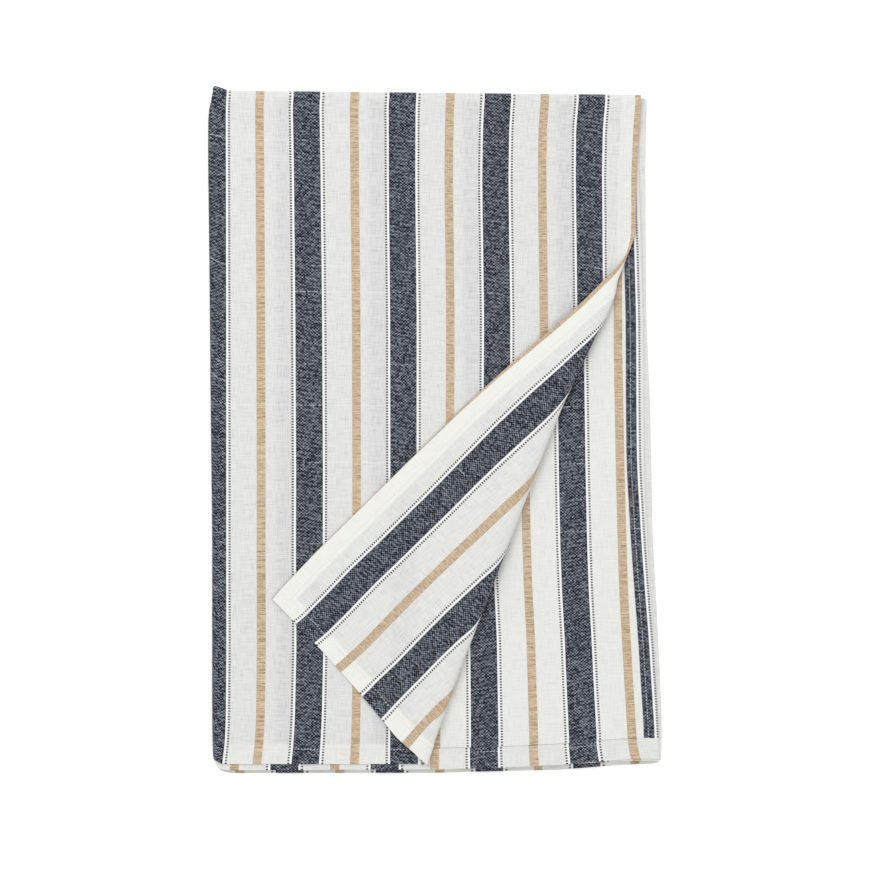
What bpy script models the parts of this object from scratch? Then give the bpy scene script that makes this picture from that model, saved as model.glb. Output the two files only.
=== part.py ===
"""A striped cotton tablecloth, hemmed on all four sides and folded into a flat stack.

The cloth is 1.80 m across its stripes and 1.40 m along them. It is folded in half across the stripes
and in half again, which gives four layers, and then once over the top edge, which gives eight. The
corner of the top layer is turned back over a soft roll, so that its reverse shows.

The stack lies on its lowest layer: X runs across the stripes, Y along them towards the top fold and
Z up, with the origin under the middle of the stack.
"""

import math
from dataclasses import dataclass

import bmesh
import bpy
import numpy as np

MM = 0.001

# The sheet. The hems are turned twice to the reverse, and stand proud of it there.
THICKNESS = 1.0
HEM_RISE = 0.5
HEM_WIDTH = 20.0
HEM_STEP = 1.5

# The stack, in millimetres. A layer is a little apart from the next.
LAYER_GAP = 0.45
LAYER_PITCH = THICKNESS + LAYER_GAP
LAYER_WIDTH = 450.0
HALF_LENGTH = 693.0
BEND_LENGTH = 16.0
FOLD_LENGTHS = {"outer": 7.0, "centre": 3.0, "inner": 3.0}
BEND_BULGE = 1.2
BEND_BULGE_REACH = 42.0

# The top fold slopes down from its left corner, which lifts a little.
TOP_LEFT = (-232.0, 355.5)
TOP_SLOPE = 0.0103
CORNER_LIFT = 4.8
CORNER_REACH = 10.6

# Where the layers part to make room for the hems between them.
BOTTOM_HEM_ROOM = (-255.0, -318.0)
SIDE_HEM_ROOM = (150.0, 187.0)

# The turned-back corner mirrors about a crease from the free edge to the hem. Places are millimetres
# across the top layer from its fold and up from its hem.
CREASE_TOP = (450.0, 538.0)
CREASE_FOOT = (215.5, 0.0)
FLAP_SETTLE = 60.0
FLAP_PITCH = THICKNESS + 1.3

# Where the sheet is divided, besides its even steps: lines along the crease, lines across the layers
# beside the left folds and the right edge, and lines up them above the hems and below the top fold.
ROLL_LINES = [21.0 * step / 6 for step in range(-6, 7)] + [32.0, 50.0, 75.0]
BESIDE_LEFT_FOLD = (8.0, 24.0)
BESIDE_RIGHT = (18.0, 37.0, 56.0, 77.0)
ABOVE_HEM = (HEM_WIDTH, HEM_WIDTH + HEM_STEP, 35.0, 48.0, 64.0, 80.0, 100.0)
BELOW_BEND = (14.0, 28.0, BEND_BULGE_REACH)

# How many even steps divide each stretch.
FOLD_STEPS = 4
BEND_STEPS = 7
LONG_STEPS = 6
TOP_STEPS = 6
HIDDEN_STEPS = 3

# Corners between the rows of the edge table are rounded over this distance, slopes are taken over a
# short step, and a place and the edges at its own height are settled together in a few rounds. A corner
# of the sheet this near to a dividing line counts as on it.
SOFTEN = 12.0
SLOPE_STEP = 0.02
PLACE_ROUNDS = 4
ON_LINE = 0.3


@dataclass(frozen=True)
class EdgeRow:
    """Where the stack's long edges lie at one height on it, in millimetres from its middle."""

    y: float
    left_fold: float
    top_free: float
    second_free: float
    right_fold: float


@dataclass(frozen=True)
class EndRow:
    """How far down the hems reach at one place across the stack, in millimetres from its middle."""

    x: float
    top: float
    second: float
    inner: float
    far_second: float
    far_inner: float


@dataclass(frozen=True)
class RollRow:
    """The soft roll at one distance along the crease from its top, in millimetres.

    It is an ellipse that stays back from the crease: inset is how far, reach its half-width in plan and
    height its half-height. Sway is how far the flap beyond it has slid away from the crease.
    """

    along: float
    inset: float
    reach: float
    height: float
    sway: float


EDGES = (
    EdgeRow(y=-351.5, left_fold=-232.4, top_free=228.0, second_free=234.5, right_fold=236.6),
    EdgeRow(y=-325.4, left_fold=-233.7, top_free=225.0, second_free=234.3, right_fold=237.8),
    EdgeRow(y=-273.0, left_fold=-234.0, top_free=222.0, second_free=231.7, right_fold=236.4),
    EdgeRow(y=-220.7, left_fold=-234.0, top_free=220.0, second_free=229.1, right_fold=233.8),
    EdgeRow(y=-168.3, left_fold=-234.0, top_free=218.0, second_free=225.5, right_fold=231.3),
    EdgeRow(y=-116.0, left_fold=-234.0, top_free=216.0, second_free=222.3, right_fold=228.1),
    EdgeRow(y=-42.7, left_fold=-234.8, top_free=214.0, second_free=218.9, right_fold=226.7),
    EdgeRow(y=30.6, left_fold=-235.7, top_free=212.0, second_free=218.3, right_fold=225.1),
    EdgeRow(y=116.5, left_fold=-236.4, top_free=210.5, second_free=218.0, right_fold=221.4),
    EdgeRow(y=187.7, left_fold=-237.1, top_free=210.0, second_free=216.2, right_fold=220.7),
    EdgeRow(y=240.0, left_fold=-237.8, top_free=210.4, second_free=214.1, right_fold=220.3),
    EdgeRow(y=286.1, left_fold=-238.3, top_free=211.6, second_free=213.1, right_fold=220.2),
    EdgeRow(y=323.8, left_fold=-238.2, top_free=214.5, second_free=214.3, right_fold=221.4),
    EdgeRow(y=337.0, left_fold=-237.8, top_free=215.3, second_free=214.8, right_fold=221.7),
    EdgeRow(y=348.0, left_fold=-235.0, top_free=215.9, second_free=215.2, right_fold=222.0),
    EdgeRow(y=358.0, left_fold=-230.5, top_free=216.0, second_free=215.2, right_fold=222.0),
)

ENDS = (
    EndRow(x=-238.0, top=-330.0, second=-341.6, inner=-331.4, far_second=-342.4, far_inner=-334.0),
    EndRow(x=-233.5, top=-338.0, second=-344.6, inner=-339.4, far_second=-345.4, far_inner=-342.0),
    EndRow(x=-231.0, top=-345.5, second=-349.6, inner=-346.4, far_second=-350.9, far_inner=-348.5),
    EndRow(x=-228.0, top=-348.6, second=-354.1, inner=-349.9, far_second=-355.4, far_inner=-352.0),
    EndRow(x=-224.0, top=-350.2, second=-356.6, inner=-351.9, far_second=-358.9, far_inner=-354.0),
    EndRow(x=-214.0, top=-350.6, second=-357.4, inner=-353.4, far_second=-360.8, far_inner=-355.0),
    EndRow(x=0.0, top=-350.5, second=-356.3, inner=-352.9, far_second=-360.6, far_inner=-355.0),
    EndRow(x=67.5, top=-350.5, second=-354.7, inner=-351.4, far_second=-358.8, far_inner=-354.0),
    EndRow(x=130.4, top=-350.5, second=-351.6, inner=-349.9, far_second=-357.4, far_inner=-351.5),
    EndRow(x=172.2, top=-350.5, second=-347.9, inner=-347.9, far_second=-354.0, far_inner=-349.0),
    EndRow(x=214.1, top=-350.5, second=-344.8, inner=-348.2, far_second=-351.4, far_inner=-348.5),
    EndRow(x=229.6, top=-350.5, second=-345.4, inner=-349.4, far_second=-350.9, far_inner=-349.0),
    EndRow(x=238.0, top=-350.5, second=-345.8, inner=-346.4, far_second=-348.4, far_inner=-347.0),
)

ROLL = (
    RollRow(along=-40.0, inset=4.0, reach=8.0, height=2.4, sway=0.0),
    RollRow(along=0.0, inset=7.0, reach=12.0, height=3.0, sway=0.0),
    RollRow(along=38.0, inset=5.8, reach=11.5, height=3.6, sway=-1.5),
    RollRow(along=55.0, inset=1.5, reach=9.5, height=4.0, sway=-3.5),
    RollRow(along=75.0, inset=0.8, reach=10.0, height=4.4, sway=-4.0),
    RollRow(along=100.0, inset=3.5, reach=11.0, height=5.0, sway=-1.5),
    RollRow(along=180.0, inset=7.5, reach=13.0, height=6.5, sway=3.5),
    RollRow(along=230.0, inset=7.5, reach=13.5, height=6.8, sway=4.5),
    RollRow(along=330.0, inset=5.5, reach=13.0, height=7.0, sway=2.5),
    RollRow(along=430.0, inset=3.5, reach=11.5, height=6.2, sway=1.0),
    RollRow(along=500.0, inset=1.5, reach=10.0, height=5.5, sway=-3.5),
    RollRow(along=590.0, inset=-1.5, reach=8.0, height=4.5, sway=-4.0),
)

# The pieces of the folded section in the order that the cloth runs through them, from the top layer's
# free edge to the second layer's. Each has its length and the steps that divide it.
SECTION = (
    ("top", LAYER_WIDTH, TOP_STEPS),
    ("outer", FOLD_LENGTHS["outer"], FOLD_STEPS),
    ("bottom", LAYER_WIDTH, HIDDEN_STEPS),
    ("centre", FOLD_LENGTHS["centre"], FOLD_STEPS),
    ("third", LAYER_WIDTH, HIDDEN_STEPS),
    ("inner", FOLD_LENGTHS["inner"], FOLD_STEPS),
    ("second", LAYER_WIDTH, TOP_STEPS),
)
SECTION_STARTS = dict(
    zip([name for name, _, _ in SECTION], np.cumsum([0.0] + [length for _, length, _ in SECTION]))
)
SECTION_LENGTH = sum(length for _, length, _ in SECTION)
SHEET_LENGTH = 2 * HALF_LENGTH + BEND_LENGTH


def read_table(table, key, name, places):
    """One named column of a table at some places, with the corners between its rows rounded off."""
    keys = [getattr(row, key) for row in table]
    values = [getattr(row, name) for row in table]
    shifts = (-SOFTEN, 0.0, SOFTEN) if key == "y" else (0.0,)
    return sum(np.interp(places + shift, keys, values) for shift in shifts) / len(shifts)


def edge(name, y):
    """How far across one of the stack's long edges lies at height y."""
    return read_table(EDGES, "y", name, y)


def end(name, x):
    """How far down one of the layers' hems reaches at x."""
    return read_table(ENDS, "x", name, x)


def rise(value, start, stop):
    """0 up to start and 1 from stop on, with a smooth slope between."""
    t = np.clip((value - start) / (stop - start), 0.0, 1.0)
    return t * t * (3 - 2 * t)


def top_line(x):
    """How far up the top fold reaches: it slopes down to the right and lifts at its left corner."""
    along = x - TOP_LEFT[0]
    lift = CORNER_LIFT * np.exp(-((along / CORNER_REACH) ** 2))
    return TOP_LEFT[1] + lift - along * TOP_SLOPE


def layer_heights(x, y):
    """Heights of the four layers' middles over the plane between the stack's halves, top layer first."""
    hems = 2 * HEM_RISE * rise(y, *BOTTOM_HEM_ROOM)
    side_hems = 2 * HEM_RISE * rise(x, *SIDE_HEM_ROOM)
    reach = top_line(x) - y
    bottom = LAYER_PITCH / 2 + BEND_BULGE * rise(reach, BEND_BULGE_REACH, 0.0)
    third = bottom + LAYER_PITCH + hems
    second = third + LAYER_PITCH
    top = second + LAYER_PITCH + np.maximum(hems, side_hems)
    return top, second, third, bottom


def bend_line(x):
    """Where the layers leave the flat and turn over the top fold."""
    top = layer_heights(x, top_line(x))[0]
    return top_line(x) - top - THICKNESS / 2


def crease():
    """The top of the crease, the direction down it and the direction out over the corner."""
    top, foot = np.array(CREASE_TOP), np.array(CREASE_FOOT)
    along = (foot - top) / np.hypot(*(foot - top))
    return top, along, np.array((-along[1], along[0]))


def turn_back(across, up):
    """Turns the corner of the top layer back. Gives the new place of each point and how much it lifts."""
    top, down, out = crease()
    along = (across - top[0]) * down[0] + (up - top[1]) * down[1]
    beyond = (across - top[0]) * out[0] + (up - top[1]) * out[1]
    inset, reach, height, sway = (
        read_table(ROLL, "along", name, along) for name in ("inset", "reach", "height", "sway")
    )
    start = inset + reach
    rolled = np.clip((beyond + start) / (2 * start), 0.0, 1.0) * math.pi
    sideways = np.where(abs(beyond) < start, reach * np.sin(rolled) - start, -abs(beyond))
    sideways = sideways - sway * rise(beyond, 0.0, FLAP_SETTLE)
    settled = rise(beyond, start, start + FLAP_SETTLE)
    lift = height * (1 - np.cos(rolled)) + settled * (FLAP_PITCH - 2 * height)
    place = (top[axis] + along * down[axis] + sideways * out[axis] for axis in (0, 1))
    return *place, lift


def section_place(piece, t, y):
    """How far across the stack a share t of the way through a piece of the section lies, at height y."""
    top, second, third, bottom = layer_heights(np.zeros_like(y), y)
    outer_radius, small_radius = (top - bottom) / 2, LAYER_PITCH / 2
    left = edge("left_fold", y) + THICKNESS / 2 + outer_radius
    centre_radius = (third - bottom) / 2
    right = edge("right_fold", y) - THICKNESS / 2 - centre_radius
    if piece == "outer":
        return left - outer_radius * np.sin(math.pi * t)
    if piece == "inner":
        return left - small_radius * np.sin(math.pi * t)
    if piece == "centre":
        return right + centre_radius * np.sin(math.pi * t)
    far_side = {"top": edge("top_free", y), "second": edge("second_free", y)}.get(piece, right)
    away = t if piece in ("bottom", "second") else 1 - t
    return left + away * (far_side - left)


def section_height(piece, t, x, y):
    """The height over the plane between the halves of a share t of the way through a piece."""
    top, second, third, bottom = layer_heights(x, y)
    flat = {"top": top, "second": second, "third": third, "bottom": bottom}
    if piece in flat:
        return flat[piece]
    first, last = {"outer": (top, bottom), "centre": (bottom, third), "inner": (third, second)}[piece]
    return (first + last) / 2 + (first - last) / 2 * np.cos(math.pi * t)


def hem_end(piece, t, x, far):
    """Where a piece's hem ends on the near or the far half. A fold's runs from one layer's to the next's."""
    near_ends = {"top": ("top", "top"), "outer": ("top", "inner")}
    second_ends = {"second": ("second", "second"), "inner": ("inner", "second")}
    first, last = {**near_ends, **second_ends}.get(piece, ("inner", "inner"))
    if far:
        first, last = (f"far_{name.replace('top', 'inner')}" for name in (first, last))
    return end(first, x) * (1 - t) + end(last, x) * t


def place_piece(piece, t, up, lift):
    """The folded places of points on one piece, from their share through it and distance up the sheet."""
    near = np.clip(up / HALF_LENGTH, 0.0, 1.0)
    far = np.clip((up - HALF_LENGTH - BEND_LENGTH) / HALF_LENGTH, 0.0, 1.0)
    turned = np.clip((up - HALF_LENGTH) / BEND_LENGTH, 0.0, 1.0) * math.pi
    y = np.zeros_like(up)
    for _ in range(PLACE_ROUNDS):
        x = section_place(piece, t, y)
        low = np.where(far > 0, hem_end(piece, t, x, True), hem_end(piece, t, x, False))
        share = np.where(far > 0, 1 - far, near)
        y = low + share * (bend_line(x) - low)
    x = section_place(piece, t, y)
    top = layer_heights(x, y)[0]
    height = section_height(piece, t, x, y) + lift
    z = top + THICKNESS / 2 + height * np.cos(turned)
    return np.stack((x, y + height * np.sin(turned), z), axis=-1)


def fold(across, up):
    """The folded places of points of the flat sheet, given in millimetres across and up it."""
    places = np.zeros((len(across), 3))
    for name, length, _ in SECTION:
        start = SECTION_STARTS[name]
        last = name == SECTION[-1][0]
        mine = (across >= start) & ((across <= start + length) if last else (across < start + length))
        if not mine.any():
            continue
        t = (across[mine] - start) / length
        along = up[mine]
        lift = np.zeros_like(along)
        if name == "top":
            near = along < HALF_LENGTH
            from_fold, new_up, lifted = turn_back(LAYER_WIDTH * (1 - t), along)
            t = np.where(near, 1 - from_fold / LAYER_WIDTH, t)
            along = np.where(near, new_up, along)
            lift = np.where(near, lifted, lift)
        places[mine] = place_piece(name, t, along, lift)
    return places


def face_normals(across, up):
    """The directions in which the face side looks, from the folded sheet's slopes."""
    inner_across = np.clip(across, SLOPE_STEP, SECTION_LENGTH - SLOPE_STEP)
    inner_up = np.clip(up, SLOPE_STEP, SHEET_LENGTH - SLOPE_STEP)
    slope_across = fold(inner_across + SLOPE_STEP, inner_up) - fold(inner_across - SLOPE_STEP, inner_up)
    slope_up = fold(inner_across, inner_up + SLOPE_STEP) - fold(inner_across, inner_up - SLOPE_STEP)
    normals = np.cross(slope_up, slope_across)
    return normals / np.linalg.norm(normals, axis=1, keepdims=True)


def hem_share(across, up):
    """1 on the hems, 0 inside them, with a short step between."""
    from_edge = np.minimum.reduce([across, SECTION_LENGTH - across, up, SHEET_LENGTH - up])
    return np.clip((HEM_WIDTH + HEM_STEP - from_edge) / HEM_STEP, 0.0, 1.0)


def across_lines():
    """Where the sheet is divided across its width: evenly in each piece, and at the two side hems."""
    lines = [0.0]
    for name, length, steps in SECTION:
        start = SECTION_STARTS[name]
        lines += [start + length * step / steps for step in range(1, steps + 1)]
        if length == LAYER_WIDTH:
            leftwards = name in ("top", "third")
            from_left = list(BESIDE_LEFT_FOLD) + [LAYER_WIDTH - beside for beside in BESIDE_RIGHT]
            lines += [start + (LAYER_WIDTH - place if leftwards else place) for place in from_left]
    for inner in (HEM_WIDTH, HEM_WIDTH + HEM_STEP):
        lines += [inner, SECTION_LENGTH - inner]
    return sorted(lines)


def up_lines():
    """Where the sheet is divided along its length: evenly in each half, at the bend and at the hems."""
    rows = [0.0, *ABOVE_HEM]
    rows += list(np.linspace(ABOVE_HEM[-1], HALF_LENGTH - BELOW_BEND[-1], LONG_STEPS + 1)[1:])
    rows += [HALF_LENGTH - below for below in BELOW_BEND[:-1]]
    bend = np.linspace(HALF_LENGTH, HALF_LENGTH + BEND_LENGTH, BEND_STEPS + 1)
    return sorted([*rows, *bend, *(SHEET_LENGTH - row for row in rows)])


def cut_roll(sheet):
    """Divides the flat sheet along lines beside the crease, close together where it rolls."""
    top, down, out = crease()
    for beyond in ROLL_LINES:
        faces = [
            face
            for face in sheet.faces
            if face.calc_center_median().x < LAYER_WIDTH and face.calc_center_median().y < HALF_LENGTH
        ]
        parts = faces + list(dict.fromkeys(e for face in faces for e in face.edges))
        parts += list(dict.fromkeys(v for face in faces for v in face.verts))
        on_line = top + beyond * out
        bmesh.ops.bisect_plane(
            sheet,
            geom=parts,
            dist=ON_LINE,
            plane_co=(LAYER_WIDTH - on_line[0], on_line[1], 0.0),
            plane_no=(-out[0], out[1], 0.0),
        )


def flat_sheet():
    """The cloth laid flat, divided where it folds and rolls, as triangles."""
    sheet = bmesh.new()
    columns, rows = across_lines(), up_lines()
    corners = [[sheet.verts.new((x, y, 0.0)) for y in rows] for x in columns]
    for i in range(len(columns) - 1):
        for j in range(len(rows) - 1):
            sheet.faces.new((corners[i][j], corners[i][j + 1], corners[i + 1][j + 1], corners[i + 1][j]))
    cut_roll(sheet)
    bmesh.ops.triangulate(sheet, faces=sheet.faces[:])
    sheet.verts.ensure_lookup_table()
    sheet.verts.index_update()
    return sheet


def centred(points):
    """Moves points so that the middle of their box lies over the origin and its foot on Z = 0."""
    low, high = points.min(axis=0), points.max(axis=0)
    return points - np.array(((low[0] + high[0]) / 2, (low[1] + high[1]) / 2, low[2]))


def fabric():
    """Plain-weave cotton in the cloth's mean colour."""
    material = bpy.data.materials.new("striped_cotton")
    material.use_nodes = True
    shader = material.node_tree.nodes["Principled BSDF"]
    shader.inputs["Base Color"].default_value = (0.55, 0.54, 0.55, 1.0)
    shader.inputs["Roughness"].default_value = 0.9
    shader.inputs["Metallic"].default_value = 0.0
    return material


def tablecloth():
    """The folded cloth as one closed solid: both sides of the sheet, joined round its edge."""
    sheet = flat_sheet()
    flat = np.array([v.co for v in sheet.verts])
    faces = [[v.index for v in face.verts] for face in sheet.faces]
    rim = [[v.index for v in e.verts] for e in sheet.edges if e.is_boundary]
    runs = {pair for face in faces for pair in zip(face, face[1:] + face[:1])}
    sheet.free()

    across, up = flat[:, 0], flat[:, 1]
    middle, normals = fold(across, up), face_normals(across, up)
    behind = THICKNESS / 2 + HEM_RISE * hem_share(across, up)
    front_side = middle + normals * THICKNESS / 2
    back_side = middle - normals * behind[:, None]
    points = centred(np.concatenate((front_side, back_side))) * MM

    count = len(flat)
    shell = faces + [[i + count for i in reversed(face)] for face in faces]
    for pair in rim:
        i, j = reversed(pair) if tuple(pair) in runs else pair
        shell += [[i, j, j + count], [i, j + count, i + count]]

    mesh = bpy.data.meshes.new("tablecloth")
    mesh.from_pydata(points.tolist(), [], shell)
    mesh.materials.append(fabric())
    cloth = bpy.data.objects.new("tablecloth", mesh)
    bpy.context.scene.collection.objects.link(cloth)
    return cloth


def main():
    """Clears the scene and makes the cloth."""
    for old in list(bpy.data.objects):
        bpy.data.objects.remove(old)
    tablecloth()


if __name__ == "__main__":
    main()
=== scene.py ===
"""Makes the looks of a striped cotton tablecloth that lies folded, with one corner turned back.

The cloth is one thin sheet, 1.80 m across its stripes and 1.40 m along them, on the solid's own folds.
Sizes are in millimetres until the mesh is made. The stripes follow the yarns, so each point of the
cloth knows its place across and along the cut.
"""

import logging
import math
from dataclasses import dataclass, field
from enum import Enum

import bmesh
import bpy
import numpy as np
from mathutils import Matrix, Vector

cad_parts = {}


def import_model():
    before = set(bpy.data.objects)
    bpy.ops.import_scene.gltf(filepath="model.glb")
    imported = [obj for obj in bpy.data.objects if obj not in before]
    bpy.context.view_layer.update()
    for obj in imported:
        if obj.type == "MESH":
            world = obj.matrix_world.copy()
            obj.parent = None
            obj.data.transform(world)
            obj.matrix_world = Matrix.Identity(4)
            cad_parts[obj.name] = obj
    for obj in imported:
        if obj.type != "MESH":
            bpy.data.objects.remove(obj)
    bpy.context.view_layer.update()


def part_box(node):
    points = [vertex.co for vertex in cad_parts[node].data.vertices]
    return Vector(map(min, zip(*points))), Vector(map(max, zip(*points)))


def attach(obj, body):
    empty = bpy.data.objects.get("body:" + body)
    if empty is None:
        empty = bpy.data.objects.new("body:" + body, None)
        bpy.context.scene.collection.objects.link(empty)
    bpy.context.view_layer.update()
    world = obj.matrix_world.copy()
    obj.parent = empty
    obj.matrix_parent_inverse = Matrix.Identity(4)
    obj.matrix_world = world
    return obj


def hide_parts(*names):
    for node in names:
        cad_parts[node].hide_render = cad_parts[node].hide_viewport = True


LOG = logging.getLogger("tablecloth")
MM = 0.001


class Stretch(Enum):
    """The pieces of the folded section, in the order that the cloth runs through them."""

    TOP = "top"
    OUTER = "outer"
    BOTTOM = "bottom"
    CENTRE = "centre"
    THIRD = "third"
    INNER = "inner"
    SECOND = "second"


class Band(Enum):
    """What shows at a point: the cloth itself or one of the hems turned over it."""

    BODY = 0
    SIDE_HEM = 1
    END_HEM = 2


@dataclass(frozen=True)
class EdgeRow:
    """Where the stack's long edges lie at one height on it, in millimetres from its middle."""

    y: float
    left_fold: float
    top_free: float
    second_free: float
    right_fold: float


@dataclass(frozen=True)
class EndRow:
    """How far down the hems reach at one place across the stack, in millimetres from its middle."""

    x: float
    top: float
    second: float
    inner: float
    far_second: float
    far_inner: float


@dataclass(frozen=True)
class RollRow:
    """The soft roll at one distance along the crease from its top, in millimetres.

    It is an ellipse that stays back from the crease: inset is how far, reach its half-width in plan and
    height its half-height. Sway is how far the flap beyond it has slid away from the crease.
    """

    along: float
    inset: float
    reach: float
    height: float
    sway: float


@dataclass(frozen=True)
class SlipRow:
    """How far the turned-back end hem has slid at one distance from its tip, in millimetres."""

    along: float
    right: float
    up: float


@dataclass(frozen=True)
class TopStripes:
    """Where the middles of the top layer's stripes lie at one height on the stack, in millimetres."""

    y: float
    navy_1: float
    navy_2: float
    navy_3: float
    navy_4: float
    navy_5: float
    tan_5: float


@dataclass(frozen=True)
class SecondStripes:
    """Where the middles of the second layer's stripes lie at one height on the stack, in millimetres."""

    y: float
    navy_a: float
    navy_b: float
    navy_c: float
    navy_d: float
    tan_d: float


def rows(kind: type, *values: tuple[float, ...]) -> tuple:
    """A table from plain rows of numbers, in the order of their class's fields."""
    return tuple(kind(*row) for row in values)


EDGES = rows(
    EdgeRow,
    (-351.5, -232.4, 228.0, 234.5, 236.6),
    (-325.4, -233.7, 225.0, 234.3, 237.8),
    (-273.0, -234.0, 222.0, 231.7, 236.4),
    (-220.7, -234.0, 220.0, 229.1, 233.8),
    (-168.3, -234.0, 218.0, 225.5, 231.3),
    (-116.0, -234.0, 216.0, 222.3, 228.1),
    (-42.7, -234.8, 214.0, 218.9, 226.7),
    (30.6, -235.7, 212.0, 218.3, 225.1),
    (116.5, -236.4, 210.5, 218.0, 221.4),
    (187.7, -237.1, 210.0, 216.2, 220.7),
    (240.0, -237.8, 210.4, 214.1, 220.3),
    (286.1, -238.3, 211.6, 213.1, 220.2),
    (323.8, -238.2, 214.5, 214.3, 221.4),
    (337.0, -237.8, 215.3, 214.8, 221.7),
    (348.0, -235.0, 215.9, 215.2, 222.0),
    (358.0, -230.5, 216.0, 215.2, 222.0),
)

ENDS = rows(
    EndRow,
    (-238.0, -330.0, -341.6, -331.4, -342.4, -334.0),
    (-233.5, -338.0, -344.6, -339.4, -345.4, -342.0),
    (-231.0, -345.5, -349.6, -346.4, -350.9, -348.5),
    (-228.0, -348.6, -354.1, -349.9, -355.4, -352.0),
    (-224.0, -350.2, -356.6, -351.9, -358.9, -354.0),
    (-214.0, -350.6, -357.4, -353.4, -360.8, -355.0),
    (0.0, -350.5, -356.3, -352.9, -360.6, -355.0),
    (67.5, -350.5, -354.7, -351.4, -358.8, -354.0),
    (130.4, -350.5, -351.6, -349.9, -357.4, -351.5),
    (172.2, -350.5, -347.9, -347.9, -354.0, -349.0),
    (214.1, -350.5, -344.8, -348.2, -351.4, -348.5),
    (229.6, -350.5, -345.4, -349.4, -350.9, -349.0),
    (238.0, -350.5, -345.8, -346.4, -348.4, -347.0),
)

ROLL = rows(
    RollRow,
    (-40.0, 4.0, 8.0, 2.4, 0.0),
    (0.0, 7.0, 12.0, 3.0, 0.0),
    (38.0, 5.8, 11.5, 3.6, -1.5),
    (55.0, 1.5, 9.5, 4.0, -3.5),
    (75.0, 0.8, 10.0, 4.4, -4.0),
    (100.0, 3.5, 11.0, 5.0, -1.5),
    (180.0, 7.5, 13.0, 6.5, 3.5),
    (230.0, 7.5, 13.5, 6.8, 4.5),
    (330.0, 5.5, 13.0, 7.0, 2.5),
    (430.0, 3.5, 11.5, 6.2, 1.0),
    (500.0, 1.5, 10.0, 5.5, -3.5),
    (590.0, -1.5, 8.0, 4.5, -4.0),
)

SLIPS = rows(
    SlipRow,
    (0.0, 2.0, 0.5),
    (36.0, 0.0, 3.7),
    (68.0, 0.2, 4.3),
    (104.0, -0.8, 4.6),
    (141.0, -1.6, 3.2),
    (171.0, -2.8, 0.9),
    (190.0, -2.9, -0.6),
    (205.0, -2.6, -1.5),
    (234.0, 0.0, 0.0),
)

TOP_STRIPES = rows(
    TopStripes,
    (-351.0, -237.4, -136.6, -32.7, 70.0, 175.0, 224.0),
    (-330.0, -234.5, -134.5, -32.9, 71.0, 173.3, 221.2),
    (-304.0, -233.5, -132.9, -33.0, 70.5, 171.5, 219.6),
    (-231.0, -233.3, -131.1, -33.0, 67.4, 168.0, 216.3),
    (-137.0, -233.3, -131.7, -33.2, 65.0, 164.8, 212.9),
    (-43.0, -233.3, -131.5, -33.2, 64.0, 163.0, 211.4),
    (116.0, -233.3, -132.4, -33.3, 65.0, 162.7, 210.2),
    (188.0, -233.3, -133.2, -33.9, 64.0, 162.1, 209.4),
    (219.0, -233.3, -133.6, -34.3, 63.5, 161.7, 209.8),
    (265.0, -233.3, -134.1, -34.6, 63.0, 161.1, 209.8),
    (315.0, -233.3, -135.0, -34.6, 63.9, 161.4, 212.2),
    (342.0, -233.0, -135.7, -34.6, 65.4, 163.9, 214.1),
    (353.0, -231.9, -133.7, -33.0, 66.5, 164.9, 214.6),
)

SECOND_STRIPES = rows(
    SecondStripes,
    (-325.0, -153.4, -50.8, 51.9, 154.8, 206.4),
    (-273.0, -151.5, -49.5, 51.3, 152.1, 203.3),
    (-221.0, -150.0, -48.2, 50.7, 149.7, 200.3),
    (-167.0, -151.0, -50.5, 48.2, 146.6, 197.4),
    (-121.0, -151.5, -51.8, 46.6, 145.0, 195.9),
    (-48.0, -152.3, -53.4, 45.2, 143.5, 194.0),
    (83.0, -153.0, -55.0, 43.5, 141.9, 191.6),
    (355.0, -153.4, -55.0, 43.2, 141.2, 190.6),
)

# The far half's second layer runs on from the near half's over the top fold, and shows at the foot.
FAR_STRIPES = rows(
    SecondStripes,
    (-355.0, -152.6, -47.5, 57.0, 159.3, 209.8),
    (355.0, -153.4, -55.0, 43.2, 141.2, 190.6),
)

# The face shows on the second layer's turned hem, a little out of line with the cloth beyond it.
SECOND_HEM_STRIPES = rows(
    SecondStripes,
    (-355.0, -158.1, -52.9, 51.3, 157.0, 212.0),
    (-327.0, -156.5, -52.3, 50.6, 153.9, 206.2),
)


def rise(value: np.ndarray, start: float, stop: float) -> np.ndarray:
    """A smooth slope.

    Args:
        value: Where the slope is read.
        start: Where it leaves 0.
        stop: Where it reaches 1.

    Returns:
        0 up to start and 1 from stop on.
    """
    t = np.clip((value - start) / (stop - start), 0.0, 1.0)
    return t * t * (3 - 2 * t)


def column(table: tuple, key: str, name: str, places: np.ndarray, soften: float = 0.0) -> np.ndarray:
    """Reads one named column of a table.

    Args:
        table: Rows with named columns, in the order of their keys.
        key: The column that says where each row lies.
        name: The column to read.
        places: Where to read it.
        soften: How far the corners between rows are rounded off.

    Returns:
        The column's value at each place.
    """
    keys = [getattr(row, key) for row in table]
    values = [getattr(row, name) for row in table]
    shifts = (-soften, 0.0, soften)
    return sum(np.interp(places + shift, keys, values) for shift in shifts) / len(shifts)


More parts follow.
